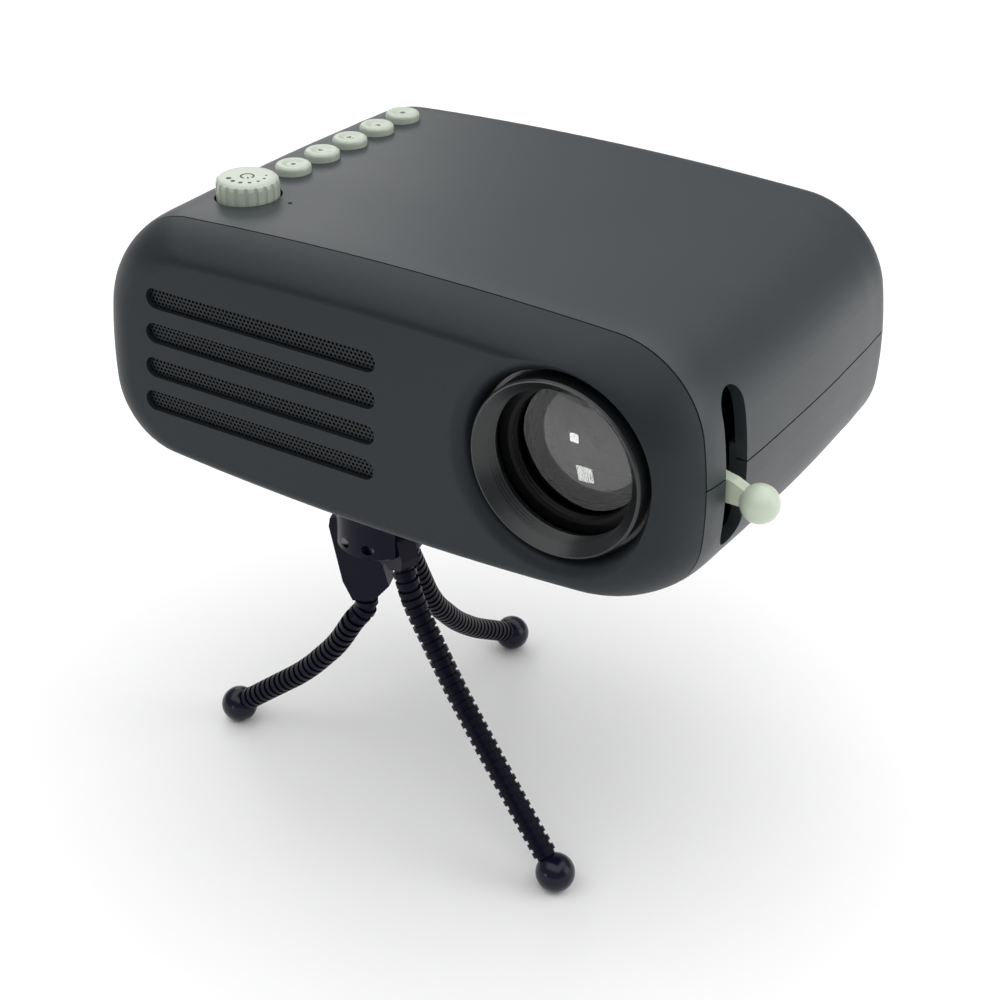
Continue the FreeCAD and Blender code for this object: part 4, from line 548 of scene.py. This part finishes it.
# %% [markdown]
# ## Floor
# The object stands on a white sweep. The floor is a wide white sheet, lit by the same lamps as the
# object, so it keeps the soft shadow under the feet. Beyond the lamps' reach, from some 0.5 to 1.1 m out,
# it goes over into a plain white glow of strength 1, as a backdrop with its own lamps does in a studio.

# %% Floor
FLOOR_SIZE = 8.0
GLOW_START, GLOW_FULL = 0.5, 1.1
start_piece()
bpy.ops.mesh.primitive_plane_add(size=FLOOR_SIZE, location=(0, 0, 0))
floor = bpy.context.object
floor.name = "floor"
finish, tree, shader = new_finish("white_paper_sweep", {"Base Color": linear("#ffffff"), "Roughness": 0.9,
                                                       "Specular IOR Level": 0.0})
place = add_node(tree, "ShaderNodeTexCoord")
outwards = add_node(tree, "ShaderNodeVectorMath", links={0: place.outputs["Object"]}, operation="LENGTH")
far = add_node(tree, "ShaderNodeMapRange", {"From Min": GLOW_START, "From Max": GLOW_FULL},
               {"Value": outwards.outputs["Value"]}, interpolation_type="SMOOTHSTEP")
glow = add_node(tree, "ShaderNodeEmission", {"Color": (1, 1, 1, 1), "Strength": 1.0})
blend = add_node(tree, "ShaderNodeMixShader", links={0: far.outputs["Result"], 1: shader.outputs["BSDF"],
                                                     2: glow.outputs["Emission"]})
tree.links.new(blend.outputs["Shader"], tree.nodes["Material Output"].inputs["Surface"])
floor.data.materials.append(finish)

# %% [markdown]
# ## Camera
# The camera stands to the front right, some 37 cm away, and looks down by 30 degrees. Its lens is longer
# than a phone's, so the casing keeps its square look.

# %% Camera
SENSOR_WIDTH, FOCAL_LENGTH = 36.0, 67.33
AZIMUTH, ELEVATION, ROLL = (math.radians(angle) for angle in (32.07, 30.24, 0.55))
TARGET = Vector((-1.53, -1.5, 62.38)) * MM
DISTANCE = 367.2 * MM
back = Vector((math.sin(AZIMUTH) * math.cos(ELEVATION), -math.cos(AZIMUTH) * math.cos(ELEVATION),
               math.sin(ELEVATION)))
level = Vector((math.cos(AZIMUTH), math.sin(AZIMUTH), 0))
upright = back.cross(level)
right = level * math.cos(ROLL) + upright * math.sin(ROLL)
up = upright * math.cos(ROLL) - level * math.sin(ROLL)
bpy.ops.object.camera_add(location=TARGET + back * DISTANCE)
camera = bpy.context.object
camera.matrix_world = (Matrix.Translation(TARGET + back * DISTANCE)
                       @ Matrix((right, up, back)).transposed().to_4x4())
camera.data.sensor_width = SENSOR_WIDTH
camera.data.lens = FOCAL_LENGTH
bpy.context.scene.camera = camera
print("camera at, in mm:", [round(place / MM) for place in camera.location])

# %% [markdown]
# ## Light
# A product shot of a dark object on white is lit from a wide softbox overhead, a softbox behind that gives
# the top its sheen, and one at the side. The floor, almost as bright as white paper in the sun, lights the
# underside and shows in every glossy face. The world is a dim fill for the object, while the camera, and
# glass with it, sees it as white. A small lamp near the floor leaves small bright spots in the lens.

# %% World and softboxes
WORLD_FILL, WORLD_SEEN = 0.32, 1.0
world = bpy.data.worlds.new("studio")
bpy.context.scene.world = world
world.use_nodes = True
tree = world.node_tree
rays = add_node(tree, "ShaderNodeLightPath")
seen = add_node(tree, "ShaderNodeMath", operation="MAXIMUM",
                links={0: rays.outputs["Is Camera Ray"], 1: rays.outputs["Is Transmission Ray"]})
strength = add_node(tree, "ShaderNodeMapRange", {"To Min": WORLD_FILL, "To Max": WORLD_SEEN},
                    {"Value": seen.outputs[0]})
tree.nodes["Background"].inputs["Color"].default_value = (1, 1, 1, 1)
tree.links.new(strength.outputs["Result"], tree.nodes["Background"].inputs["Strength"])


def softbox(name, spot, aim, width, height, power):
    """A lamp with a rectangular face in metres, its power in watts, turned towards a point."""
    bpy.ops.object.light_add(type="AREA", location=spot)
    lamp = bpy.context.object
    lamp.name = name
    lamp.data.shape = "RECTANGLE"
    lamp.data.size = width
    lamp.data.size_y = height
    lamp.data.energy = power
    turn = (Vector(spot) - Vector(aim)).to_track_quat("Z", "Y")
    lamp.matrix_world = Matrix.Translation(spot) @ turn.to_matrix().to_4x4()
    print(name, "power", power)


softbox("overhead_softbox", (0.05, 0, 1.2), (0.05, 0, 0), 2.4, 2.4, 26.0)
softbox("rear_softbox", (-0.8, 0.75, 0.5), (0, 0, 0.1), 0.4, 0.3, 0.8)
softbox("side_softbox", (0.9, 0.35, 0.35), (0, 0, 0.1), 0.6, 0.6, 2.0)
softbox("small_lamp", (-0.0634, -0.2188, 0.0276), (0.035, -0.037, 0.103), 0.022, 0.02, 0.018)

# %% [markdown]
# ## Close
# Colours are shown as they are written, without a film look.

# %% Close
bpy.context.scene.view_settings.view_transform = "Standard"
